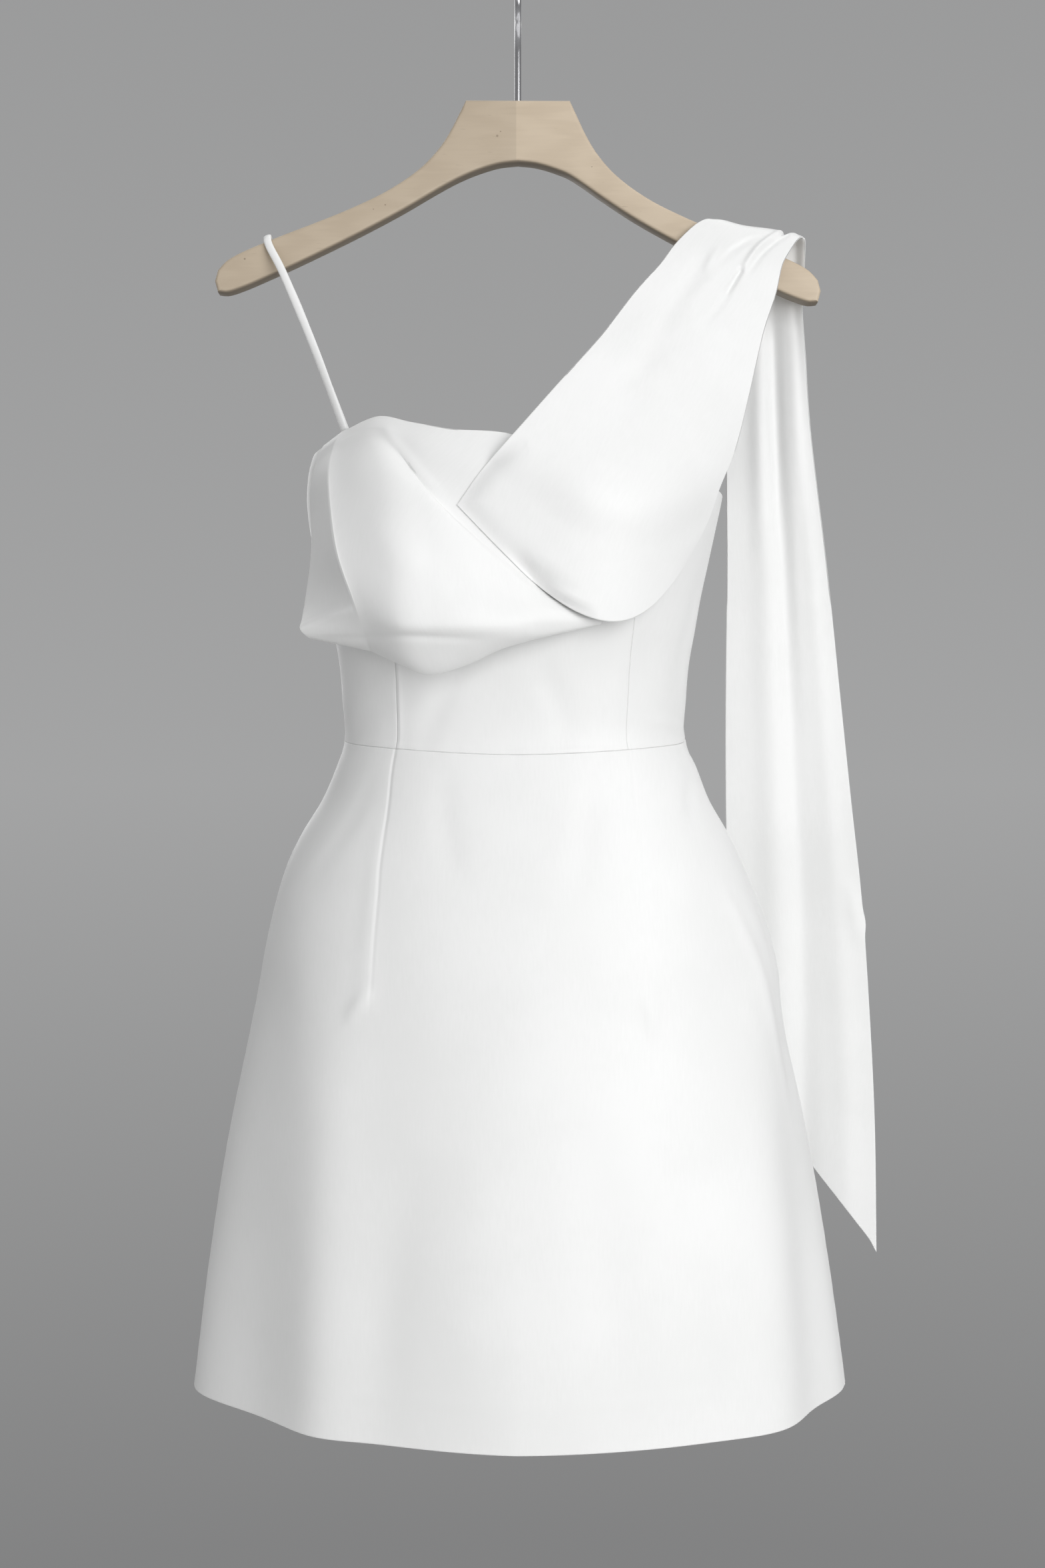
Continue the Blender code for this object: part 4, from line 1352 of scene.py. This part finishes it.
@dataclass
class ShoulderDrape:
    """Leaf-shaped fold from the bust, over the hanger's right arm, to the shoulder seam behind it.

    Attributes:
        sections: inner x, y, z, outer x, y, z, sag of the middle, how far the middle stands forward.
        folds: place across and along at each end, depth, width across.
        dips: place across and along, depth, width across and along of each dip over the arm.
        settle: distance from its free edges over which it comes down on the bust drape, its stand and
            thickness there, and the largest stand that it comes down from.
        settle_fade: level and x at which this ends, and the length over which it fades there.
        rim: how far the outer edge rolls forward behind the arm, width across, and place where it starts.
        across: even steps across.
        length: even steps along.
        creases: folds whose ends are x and z, seen from the front.
    """

    sections: Table = (
        (-38, -124.0, -395, 114, -80, -420, 60, 15.5), (-22, -123.0, -372, 125, -73, -398, 38, 21),
        (-3, -117.0, -350, 133, -69, -376, 24, 26), (25, -89.0, -313, 145, -58, -347, 14, 20),
        (54, -62.0, -275, 155, -45, -311, 9, 12), (78, -42.0, -240, 167, -30, -264, 5, 8),
        (97, -24.0, -215, 177, -18, -235, 2, 4), (107, -15.5, -200, 182, -14.5, -214, 0, 1.5),
        (120, -11.8, -186, 187, -12.5, -204, 0, 0.5), (131, -9.6, -178.0, 194, -8.5, -193.5, 0, 0),
        (139, 0.0, -175.0, 199, 0, -189.5, -1, 0), (144, 9.6, -179.5, 201, 9.5, -195, 0, 0),
        (147, 13.5, -199, 201, 15.0, -214, 0, 0),
    )
    folds: Table = (
        (0.62, 0.72, 0.42, 0.50, -4.0, 0.05), (0.54, 0.66, 0.38, 0.42, 3.0, 0.07),
        (0.30, 0.66, 0.26, 0.22, -3.2, 0.08), (0.80, 0.80, 0.66, 0.66, -2.0, 0.06),
    )
    dips: Table = (
        (0.30, 0.833, 3.2, 0.30, 0.09), (-0.02, 0.833, 3.2, 0.09, 0.09), (0.80, 0.825, 5.0, 0.032, 0.055),
        (0.90, 0.85, -1.0, 0.04, 0.06),
    )
    settle: tuple[float, float, float, float] = (9.0, 0.95, 0.6, 7.0)
    settle_fade: Triple = (-352.0, 50.0, 16.0)
    rim: Triple = (5.0, 0.07, 0.84)
    across: int = 150
    length: int = 230
    creases: tuple[Crease, ...] = (
        Crease((153, -218), (141, -238), -3.0, 2.2, 0.0, 0.5, 0.9),
        Crease((149, -226), (121, -266), -1.6, 3.6, -1.5, 0.5, 0.4),
        Crease((183, -187), (153, -219), 2.6, 2.8, 3.3, 0.5, 0.6),
        Crease((186, -190), (157, -223), -1.6, 2.4, 3.3, 0.2, 0.8),
        Crease((139, -200), (127, -222), 0.8, 3.0, 1.0),
        Crease((119, -268), (55, -326), -1.4, 10.0, 4.0),
        Crease((89, -311), (62, -340), -1.0, 8.0, 2.0),
        Crease((150, -262), (96, -345), 0.9, 12.0, -5.0),
        Crease((70, -268), (6, -345), 0.8, 9.0, 2.0),
        Crease((40, -360), (60, -430), 0.8, 22.0, 6.0),
    )

    def point(self, s: Array, t: Array) -> Array:
        """Points of its face before it settles.

        Args:
            s: place across, from 0, inner, to 1, outer.
            t: place along, from 0, foot, to 1, seam.

        Returns:
            The points.
        """
        rows = Curve.numbered(self.sections)
        key = t * (len(self.sections) - 1)
        x0, y0, z0, x1, y1, z1, sag, stand = (rows(key, column) for column in range(8))
        drop = np.sin(math.pi * s)
        fold = np.zeros_like(s)
        for s0, t0, s1, t1, depth, width in self.folds:
            f = (t0 - t) / (t0 - t1)
            away = (s - (s0 + (s1 - s0) * f)) / width
            rise = depth * np.sin(math.pi * np.clip(f, 0, 1)) * bell(away)
            fold += np.where((f > 0) & (f < 1), rise, 0.0)
        fold = fold * np.maximum(0.0, 1.0 - t)
        dip = sum(depth * bell((s - s0) / wide) * bell((t - t0) / long)
                  for s0, t0, depth, wide, long in self.dips)
        high, wide, start = self.rim
        roll = high * bell((1 - s) / wide) * np.clip((t - start) / 0.05, 0, 1)
        return np.stack([x0 + (x1 - x0) * s + 0.25 * sag * drop,
                         y0 + (y1 - y0) * s - stand * drop - fold - roll,
                         z0 + (z1 - z0) * s - sag * drop - dip], -1)

    def rested(self, grid: Array, under: Array, full: float) -> tuple[Array, Array]:
        """Bring the free edges down on the drape behind them.

        Args:
            grid: the drape's outer face.
            under: outer face of the drape behind it.
            full: thickness away from the edges.

        Returns:
            The new face and the thickness at each point.
        """
        tree = BVHTree.FromPolygons(under.reshape(-1, 3).tolist(), quads(*under.shape[:2]).tolist())
        reach, stand, thin, limit = self.settle
        away = np.minimum(from_edge(grid, Edge.LEFT)[0], from_edge(grid, Edge.FOOT)[0])
        grid, thick = grid.copy(), np.full(grid.shape[:2], full)
        for r, c in np.argwhere(away < 3 * reach):
            hit, *_ = tree.ray_cast(Vector(grid[r, c]) - Vector((0, 8, 0)), Vector((0, 1, 0)), 60.0)
            if hit is None:
                continue
            gap = hit.y - grid[r, c, 1]
            level, end, fade = self.settle_fade
            share = math.exp(-(away[r, c] / reach) ** 2)
            for rest in (2 - gap / limit, (level - grid[r, c, 2]) / fade, (end - grid[r, c, 0]) / (2 * fade)):
                share *= min(max(rest, 0.0), 1.0)
            grid[r, c, 1] += (gap - stand) * share
            thick[r, c] += (thin - full) * share
        return grid, thick

    def build(self, shared: Dressing, under: Array) -> Piece:
        """The drape.

        Args:
            shared: figure, satin and sewing.
            under: outer face of the drape behind it.

        Returns:
            The piece.
        """
        columns, rows = graded(self.across, (0.004,), (0.004,)), graded(self.length, (0.002,), (0.002,))
        grid = self.point(*np.meshgrid(columns, 1.0 - rows))
        facing = np.clip(-grid_normals(grid)[..., 1], 0, 1)
        lift = relief(self.creases, grid[..., 0], grid[..., 2]) * facing
        lift += shared.sewing.lift(grid, {Edge.TOP: 0.8}, 2.2)
        grid, thick = self.rested(raised(grid, lift), under, shared.thick)
        return shared.cut(grid, "shoulder_drape", (Edge.TOP,), thick)


@dataclass
class Tail:
    """Streamer that falls behind the shoulder, cut slanting at its foot.

    Attributes:
        sections: z left and right, x left and right, y left and right.
        folds: place across at the top and foot, depth, width across.
        rim: how far the outer edge rolls forward at its top, width across, and place along where it ends.
        nub: how far its tip hangs down, width across and along.
        bump: how far the outer edge swells at a level, the level and half its length.
        across: even steps across.
        length: even steps along.
        creases: folds whose ends are x and z, seen from the front.
    """

    sections: Table = (
        (-199.4, -214.4, 147, 201, 13.6, 15.1), (-233, -236, 148, 201, 27, 20),
        (-262, -264, 148.5, 204, 33, 24), (-320, -320, 149, 209, 37, 29),
        (-414, -414, 150.5, 222, 44, 38), (-509, -509, 151, 234, 56, 50),
        (-582, -582, 152.5, 243.5, 68, 60), (-656, -656, 155, 253, 78, 68), (-700, -735, 155.5, 259, 81, 71),
        (-735, -820, 155.7, 263, 83, 71), (-774, -912, 156, 264, 84, 70),
    )
    folds: Table = ((0.40, 0.34, 1.9, 0.12), (0.64, 0.52, -2.6, 0.085), (0.86, 0.80, 1.6, 0.09))
    rim: Triple = (5.0, 0.07, 0.3)
    nub: Triple = (3.0, 0.03, 0.02)
    bump: Triple = (1.4, -672.0, 8.0)
    across: int = 84
    length: int = 230
    creases: tuple[Crease, ...] = (
        Crease((172, -238), (175, -420), 1.1, 6.0, 1.0),
        Crease((182, -245), (187, -400), -1.3, 4.5, -1.0),
        Crease((196, -240), (206, -520), 0.9, 6.0, 3.0),
        Crease((176, -420), (190, -760), 1.1, 12.0, -5.0),
        Crease((212, -480), (232, -820), -1.1, 12.0, 4.0),
        Crease((243, -640), (252, -690), 1.2, 7.0, 0.0),
    )

    def build(self, shared: Dressing) -> Piece:
        """The streamer.

        Args:
            shared: figure, satin and sewing.

        Returns:
            The piece.
        """
        columns, rows = graded(self.across, (0.008,), (0.008,)), graded(self.length, (0.002,), (0.001,))
        s, t = np.meshgrid(columns, rows**0.85)
        section = Curve.numbered(self.sections)
        z0, z1, x0, x1, y0, y1 = (section(t * (len(self.sections) - 1), column) for column in range(6))
        lift = sum(height * bell((s - a - (b - a) * t) / width) for a, b, height, width in self.folds)
        lift = lift * np.minimum(1.0, 6.0 * t) * np.sin(math.pi * s) ** 0.5
        high, wide, ends = self.rim
        lift = lift + high * bell((1 - s) / wide) * np.clip(1 - t / ends, 0, 1)
        drop, width, height = self.nub
        hang = drop * bell((1 - s) / width) * bell((1 - t) / height)
        swell, level, half = self.bump
        z = z0 + (z1 - z0) * s
        swell = swell * bell((z - level) / half) * s**8
        grid = np.stack([x0 + (x1 - x0) * s + swell, y0 + (y1 - y0) * s - lift, z - hang], -1)
        more = relief(self.creases, grid[..., 0], grid[..., 2])
        more += shared.sewing.lift(grid, {Edge.TOP: 0.8}, 3.8)
        return shared.cut(raised(grid, more), "shoulder_tail")


@dataclass
class BackBand:
    """Plain band from the back's top edge up to the shoulder seam behind the hanger.

    Attributes:
        upper: level, x left and right, y left and right, from the back upwards.
        angles: where its foot stands on the back.
        rise: how far above the edge its foot begins.
        slope: how much lower its outer edge runs over the arm.
        slope_from: level above which it slopes.
        across: even steps across.
        length: even steps along.
    """

    upper: Table = (
        (-300, 88, 134, 62, 52), (-260, 112, 143, 42, 35), (-225, 136, 157, 21, 18),
        (-205, 148, 168, 11.5, 11.5), (-192, 151, 171, 8.6, 8.6), (-185.2, 151.5, 172, 5.2, 5.2),
        (-184.6, 151.5, 172, -4.8, -4.8), (-192, 151, 172, -8.6, -8.6), (-200, 150, 172, -8.6, -8.6),
    )
    angles: Pair = (56.0, 30.0)
    rise: float = 1.0
    slope: float = 9.0
    slope_from: float = -260.0
    across: int = 16
    length: int = 120

    def build(self, shared: Dressing) -> Piece:
        """The band.

        Args:
            shared: figure, satin and sewing.

        Returns:
            The piece.
        """
        columns = []
        for s in graded(self.across):
            angle = self.angles[1] + (self.angles[0] - self.angles[1]) * s
            foot = shared.figure.place(angle, shared.figure.neckline(angle) + self.rise)
            fall = self.slope * (1.0 - s)
            column = [(x1 + (x0 - x1) * s, y1 + (y0 - y1) * s, z - fall * (z > self.slope_from))
                      for z, x0, x1, y0, y1 in reversed(self.upper)]
            columns.append(column + [foot])
        grid = through(np.array(columns, float).transpose(1, 0, 2), graded(self.length, (0.005,), (0.005,)))
        return shared.cut(grid, "back_shoulder_band")


@dataclass
class Strap:
    """Narrow turned strap over the hanger's left arm.

    Attributes:
        width: its width.
        depth: its depth, as it is turned to a flattened round.
        front: angle where it leaves the front edge.
        back: angle where it meets the back edge.
        rise: how far above the edge it begins.
        middle: x, y, z of its middle line between them.
        lean: direction across it where it is free.
        turn: share of its length over which it turns parallel to the edge.
        wall: thickness that its middle line allows for.
        length: even steps along.
        sides: corners round it.
    """

    width: float = 5.4
    depth: float = 2.2
    front: float = 209.0
    back: float = 153.0
    rise: float = 1.0
    middle: tuple[Triple, ...] = (
        (-136, -39, -279), (-160, -17.5, -222), (-171.5, -9.2, -199), (-173.5, -6.4, -191.8),
        (-174, 0, -189.9), (-173.8, 6.4, -191.8), (-172, 9.2, -199), (-157.5, 21, -228), (-139.7, 40, -275),
        (-125.9, 51, -311),
    )
    lean: Triple = (0.918, 0.0, 0.396)
    turn: float = 0.15
    wall: float = 1.5
    length: int = 200
    sides: int = 24

    def build(self, shared: Dressing) -> Piece:
        """The strap.

        Args:
            shared: figure, satin and sewing.

        Returns:
            The piece.
        """
        figure = shared.figure

        def rim(angle: float, way: float) -> Array:
            """Direction along the bodice's top edge."""
            ends = [figure.place(angle + way * step, figure.neckline(angle + way * step)) for step in (1, -1)]
            return unit(ends[0] - ends[1])

        ends = [figure.place(angle, figure.neckline(angle) + self.rise, -0.5 * self.wall)
                for angle in (self.front, self.back)]
        route = np.array([ends[0], *self.middle, ends[1]], float)
        t = graded(self.length)
        here = through(route, t)
        ahead = unit(through(route, t + 0.01) - through(route, t - 0.01))
        near = np.maximum(0.0, 1.0 - np.minimum(t, 1.0 - t) / self.turn)[:, None]
        start, end = rim(self.front, 1.0), rim(self.back, -1.0)
        side = np.where(t[:, None] < 0.5, start, end) * near + np.array(self.lean) * (1.0 - near)
        square = side - ahead * (side * ahead).sum(1, keepdims=True) * (1.0 - near)
        side = unit(np.where(near < 1.0, square, side))
        out = np.cross(ahead, side)
        turn = (2 * math.pi * np.arange(self.sides) / self.sides)[None, :, None]
        rings = (here[:, None] + side[:, None] * (0.5 * self.width) * np.cos(turn)
                 + out[:, None] * (0.5 * self.depth) * np.sin(turn))
        piece = new_object("strap_cloth", rings.reshape(-1, 3), tube_faces(len(t), self.sides))
        return shared.dress(piece, "strap", Satin("plain_satin", woven=False).material())


@dataclass
class Hanger:
    """Flat wooden hanger and its wire hook, in millimetres.

    Attributes:
        upper: distance from the middle and level along an arm's upper edge.
        lower: the same along its lower edge.
        tip: the arm's tip.
        drop: distance from the middle and how much lower the right arm hangs.
        thick: thickness of the wood.
        rounding: radius of its edges.
        step: distance between outline points.
        round_steps: steps round an edge.
        wire: radius of the hook's wire.
        inner: inner radius of the crook.
        shank: foot and top of the straight shank.
        crook: angles where the crook starts and ends.
        bend: pull of the neck bend at its foot and at its head.
        stations: points along the shank, the neck bend and the crook.
        wire_sides: corners round the wire.
        tip_least: least square of the radius at the wire's end.
        crisp: angle over which an edge of the wood and of the wire looks crisp.
    """

    upper: tuple[Pair, ...] = (
        (36, -96.2), (40, -104), (46, -116), (54, -128.6), (68, -143.4), (90, -158.4), (115, -170.6),
        (140, -180.8), (165, -190.4), (190, -200.8), (202, -207.5), (208, -214),
    )
    lower: tuple[Pair, ...] = (
        (0, -139), (12.5, -140.4), (26, -144.3), (40, -150), (54, -157.4), (80, -172.6), (105, -186),
        (130, -198.5), (155, -210.4), (178, -220.8), (192, -226.6), (202, -229.6), (208, -229),
    )
    tip: Pair = (210.0, -221.5)
    drop: tuple[Pair, ...] = ((34, 0), (60, 4.0), (100, 6.0), (215, 7.0))
    thick: float = 13.0
    rounding: float = 2.5
    step: float = 3.0
    round_steps: int = 6
    wire: float = 2.3
    inner: float = 19.0
    shank: Pair = (-118.0, -62.0)
    crook: Pair = (-50.0, 215.0)
    bend: Pair = (12.0, 10.0)
    stations: tuple[int, int, int] = (8, 24, 80)
    wire_sides: int = 20
    tip_least: float = 0.3
    crisp: Pair = (35.0, 50.0)

    def outline(self) -> Array:
        """Outline of both arms, anticlockwise from the front.

        Returns:
            One row of x and z a point.
        """

        def edge(rows: Sequence[Pair]) -> list[Pair]:
            """Even places along a smooth edge.

            Args:
                rows: x and z along the edge.

            Returns:
                x and z of each place.
            """
            start, end = rows[0][0], rows[-1][0]
            places = np.linspace(start, end, math.ceil((end - start) / self.step) + 1)
            return list(zip(places, Curve(rows)(places)))

        arm = np.array(edge(self.lower) + [self.tip] + edge(self.upper)[::-1], float)
        sag = Curve(self.drop)(arm[:, 0])
        right = arm - np.stack([np.zeros(len(arm)), sag], 1)
        left = (arm * (-1.0, 1.0))[:0:-1]
        return np.concatenate([right, left])

    def wood(self) -> Piece:
        """The outline with round edges and flat faces.

        Returns:
            The wood.
        """
        outline = self.outline()
        along = unit(np.roll(outline, -1, 0) - np.roll(outline, 1, 0))
        inward = np.stack([-along[:, 1], along[:, 0]], 1)
        half = 0.5 * self.thick
        rings = []
        for k in range(2 * self.round_steps + 2):
            quarter = k if k <= self.round_steps else k - 1
            turn = 0.5 * math.pi * (quarter / self.round_steps)
            inset = self.rounding * (1 - math.sin(turn))
            rise = half - self.rounding + self.rounding * abs(math.cos(turn))
            y = -rise if k <= self.round_steps else rise
            flat = outline + inward * inset
            rings.append(np.stack([flat[:, 0], np.full(len(flat), y), flat[:, 1]], 1))
        faces = [face[::-1] for face in tube_faces(len(rings), len(outline))]
        piece = new_object("hanger_arms", np.concatenate(rings), faces)
        piece.data.set_sharp_from_angle(angle=math.radians(self.crisp[0]))
        return fit(piece, Wood().material(), "hanger_wood")

    def hook(self) -> Piece:
        """A straight shank, a neck bend and a round crook over the rail.

        Returns:
            The hook.
        """
        ring = self.inner + self.wire

        def crook(angle: Array) -> Array:
            """Points round the crook."""
            angle = np.radians(np.atleast_1d(angle))
            return np.stack([0 * angle, ring * np.cos(angle), -self.inner + ring * np.sin(angle)], -1)

        begin = math.radians(self.crook[0])
        start, heading = crook(self.crook[0])[0], np.array((0.0, -math.sin(begin), math.cos(begin)))
        foot, low = self.shank
        pull_foot, pull_head = self.bend
        on_shank, on_neck, on_crook = self.stations
        low_point, pull_low = np.array((0, 0, low)), np.array((0, 0, low + pull_foot))
        pull_high = start - heading * pull_head
        t = np.linspace(0, 1, on_neck + 1)[:-1, None]
        neck = (low_point * (1 - t)**3 + pull_low * 3 * t * (1 - t)**2 + pull_high * 3 * t * t * (1 - t)
                + start * t**3)
        none = np.zeros(on_shank)
        shank = np.stack([none, none, np.linspace(foot, low, on_shank + 1)[:-1]], 1)
        line = np.concatenate([shank, neck, crook(np.linspace(*self.crook, on_crook))])
        tip = np.linalg.norm(line - line[-1], axis=1)
        tapered = np.sqrt(np.maximum(self.wire**2 - (self.wire - tip)**2, self.tip_least))
        radius = np.where(tip < self.wire, tapered, self.wire)
        piece = rod("hook_wire", line, radius, self.wire_sides)
        piece.data.set_sharp_from_angle(angle=math.radians(self.crisp[1]))
        return fit(piece, Metal().material(), "hanger_hook")


@dataclass
class Zip:
    """Concealed zip of the centre back, in millimetres.

    Attributes:
        top: level of the tape's top.
        foot: level of its foot.
        half: half-width of the tape.
        inside: how far its outer face lies inside the cloth's.
        thick: thickness of the tape.
        body_radius: radius of the back where the tape lies.
        coil_radius: half the coil's depth and a quarter of its width.
        coil_pitch: length of one turn.
        coil_points: points a turn.
        thread: radius of the coil's thread.
        thread_sides: corners round it.
        columns: columns of the tape's grid.
        rows: its rows.
        ease: how much longer the tape is cut than it shows; not used.
        ends: how far the coil stops short of each end.
        clear: gap between the tape and the coil.
        edge_round: rounding of the metal parts.
        edge_steps: steps round an edge.
        edge_angle: least angle of an edge that is rounded.
    """

    top: float = -349.0
    foot: float = -660.0
    half: float = 9.0
    inside: float = 2.7
    thick: float = 0.8
    body_radius: float = 85.0
    coil_radius: float = 0.85
    coil_pitch: float = 1.4
    coil_points: int = 8
    thread: float = 0.32
    thread_sides: int = 5
    columns: int = 13
    rows: int = 190
    ease: float = 1.03
    ends: float = 2.0
    clear: float = 0.4
    edge_round: float = 0.35
    edge_steps: int = 3
    edge_angle: float = 40.0

    def tape(self, shared: Dressing, woven: Finish) -> Piece:
        """The tape behind the seam.

        Args:
            shared: figure, satin and sewing.
            woven: its material.

        Returns:
            The piece.
        """
        figure, spread = shared.figure, math.degrees(self.half / self.body_radius)
        columns = 90 + spread * np.linspace(-1, 1, self.columns)
        rows = np.linspace(self.top, self.foot, self.rows)
        grid = figure.place(*np.meshgrid(columns, rows), -self.inside)
        piece = fit(wall("zip_band", grid, self.thick), woven, "zip_tape")
        return piece

    def coil(self, shared: Dressing, yarn: Finish) -> Piece:
        """The closed coil along the tape's inner face.

        Args:
            shared: figure, satin and sewing.
            yarn: its material.

        Returns:
            The piece.
        """
        figure = shared.figure
        turns = (self.top - self.foot - 2 * self.ends) / self.coil_pitch
        place = np.arange(int(turns * self.coil_points))
        level = self.top - self.ends - place * self.coil_pitch / self.coil_points
        middle = figure.place(90.0, level, -(self.inside + self.thick + self.coil_radius + self.clear))
        turn = 2 * math.pi * place / self.coil_points
        line = middle + self.coil_radius * np.stack([2.0 * np.cos(turn), np.sin(turn), 0 * turn], -1)
        return fit(rod("zip_coil", line, self.thread, self.thread_sides), yarn)

    def metal(self, nodes: dict[str, Piece], enamel: Finish) -> None:
        """Round the edges of the slider and the pull and enamel them.

        Args:
            nodes: the frame's solids by name.
            enamel: their material.
        """
        for name in ("zip_slider", "zip_pull"):
            part = nodes[name]
            part.data.materials.clear()
            part.data.materials.append(enamel)
            edge = part.modifiers.new("round_edges", "BEVEL")
            edge.width = self.edge_round * MM
            edge.segments = self.edge_steps
            edge.limit_method = "ANGLE"
            edge.angle_limit = math.radians(self.edge_angle)


COIL = Metal("coil", (0.85, 0.85, 0.85), worn=(0.78, 0.78, 0.78), gloss=0.4, metal=0.0)
ENAMEL = Metal("white_enamel", (0.84, 0.84, 0.84), worn=(0.76, 0.76, 0.75), gloss=0.35, metal=0.0)


@dataclass
class Studio:
    """Camera at the photograph's place, plain pale floor and soft light, in metres.

    Attributes:
        eye: the camera's place; it looks level along +Y.
        lens: focal length in millimetres.
        sensor: its width and height in millimetres.
        floor: level and radius of the floor.
        aim: place that every light faces.
        lights: name, place, size and power in watts of each light.
        backdrop: height of the view's direction and grey level there.
    """

    eye: Triple = (0.0032, -1.2, -0.57)
    lens: float = 39.6
    sensor: float = 36.0
    floor: Pair = (-1.75, 1.25)
    aim: Triple = (0.0, 0.0, -0.6)
    lights: tuple[tuple[str, Triple, float, float], ...] = (
        ("key", (1.5, -2.3, -0.15), 2.2, 58.0), ("fill", (-1.2, -2.2, -0.6), 2.0, 9.0),
        ("top", (0.2, 0.1, 1.3), 1.4, 5.0), ("back", (-0.6, 2.2, 0.4), 1.8, 20.0),
    )
    backdrop: tuple[Pair, ...] = ((0.0, 0.16), (0.30, 0.225), (0.5, 0.37), (0.72, 0.325), (1.0, 0.55))

    def camera(self) -> None:
        """Set the camera."""
        data = bpy.data.cameras.new("view")
        data.sensor_fit, data.lens = "AUTO", self.lens
        data.sensor_width = data.sensor_height = self.sensor
        item = bpy.data.objects.new("view", data)
        item.location, item.rotation_euler = self.eye, (math.radians(90), 0, 0)
        bpy.context.scene.collection.objects.link(item)
        bpy.context.scene.camera = item

    def light(self, name: str, place: Triple, size: float, power: float) -> None:
        """Add a soft square light that faces the dress.

        Args:
            name: its name.
            place: where it stands.
            size: its width.
            power: its power in watts.
        """
        data = bpy.data.lights.new(name, "AREA")
        data.shape, data.size, data.energy = "SQUARE", size, power
        item = bpy.data.objects.new(name, data)
        item.location = place
        item.rotation_euler = (Vector(self.aim) - Vector(place)).to_track_quat("-Z", "Y").to_euler()
        item.visible_camera = False
        bpy.context.scene.collection.objects.link(item)

    def world(self) -> None:
        """Plain grey surround, darker towards the floor."""
        world = bpy.data.worlds.new("surround")
        bpy.context.scene.world = world
        world.use_nodes = True
        nodes, links = world.node_tree.nodes, world.node_tree.links
        ramp = nodes.new("ShaderNodeValToRGB")
        for i, (place, grey) in enumerate(self.backdrop):
            stop = ramp.color_ramp.elements[i] if i < 2 else ramp.color_ramp.elements.new(place)
            stop.position, stop.color = place, (grey, grey * 1.003, grey * 1.008, 1.0)
        height, split = nodes.new("ShaderNodeMapRange"), nodes.new("ShaderNodeSeparateXYZ")
        height.inputs["From Min"].default_value = -1.0
        links.new(nodes.new("ShaderNodeTexCoord").outputs["Generated"], split.inputs[0])
        links.new(split.outputs["Z"], height.inputs["Value"])
        links.new(height.outputs[0], ramp.inputs[0])
        links.new(ramp.outputs[0], nodes["Background"].inputs[0])

    def ground(self) -> None:
        """The floor: a round pale disc."""
        level, radius = self.floor
        turn = np.linspace(0, 2 * math.pi, 97)[:-1]
        rim = np.stack([radius * np.cos(turn), radius * np.sin(turn), 0 * turn + level], -1) / MM
        floor = new_object("floor", rim, [tuple(range(len(turn)))])
        tree = Tree("pale_floor")
        mottle = tree.noise(tree.place(), 3.0, 4.0)
        grey = tree.blend(mottle, (0.62, 0.62, 0.61), (0.66, 0.66, 0.65))
        floor.data.materials.append(tree.finish(Base_Color=grey, Roughness=0.8))
        floor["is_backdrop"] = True

    def build(self) -> None:
        """Camera, surround, floor and lights."""
        self.camera()
        self.world()
        self.ground()
        for light in self.lights:
            self.light(*light)
        bpy.context.scene.view_settings.view_transform = "Standard"


def main() -> None:
    """Build the dress round its frame, in the order in which it is sewn and hung."""
    logging.basicConfig(level=logging.INFO, format="%(name)s: %(message)s")
    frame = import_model()
    cad_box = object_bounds()
    Studio().build()
    figure = Figure()
    shared = Dressing(figure, Satin().material())
    hanger = Hanger()
    hanger.wood()
    hanger.hook()
    Bodice().build(shared)
    Skirt().build(shared)
    bust = BustDrape()
    bust.build(shared)
    ShoulderDrape().build(shared, bust.grid(figure))
    for maker in (Tail(), BackBand(), Strap()):
        maker.build(shared)
    zipper = Zip()
    zipper.tape(shared, Woven().material())
    zipper.coil(shared, COIL.material())
    zipper.metal(frame["nodes"], ENAMEL.material())
    sizes = {"cad": [list(corner) for corner in cad_box], "visual": [list(corner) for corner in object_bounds()]}
    LOG.info("sizes in millimetres: %s", {key: [[round(v / MM, 1) for v in c] for c in box]
                                          for key, box in sizes.items()})


if __name__ == "__main__":
    main()
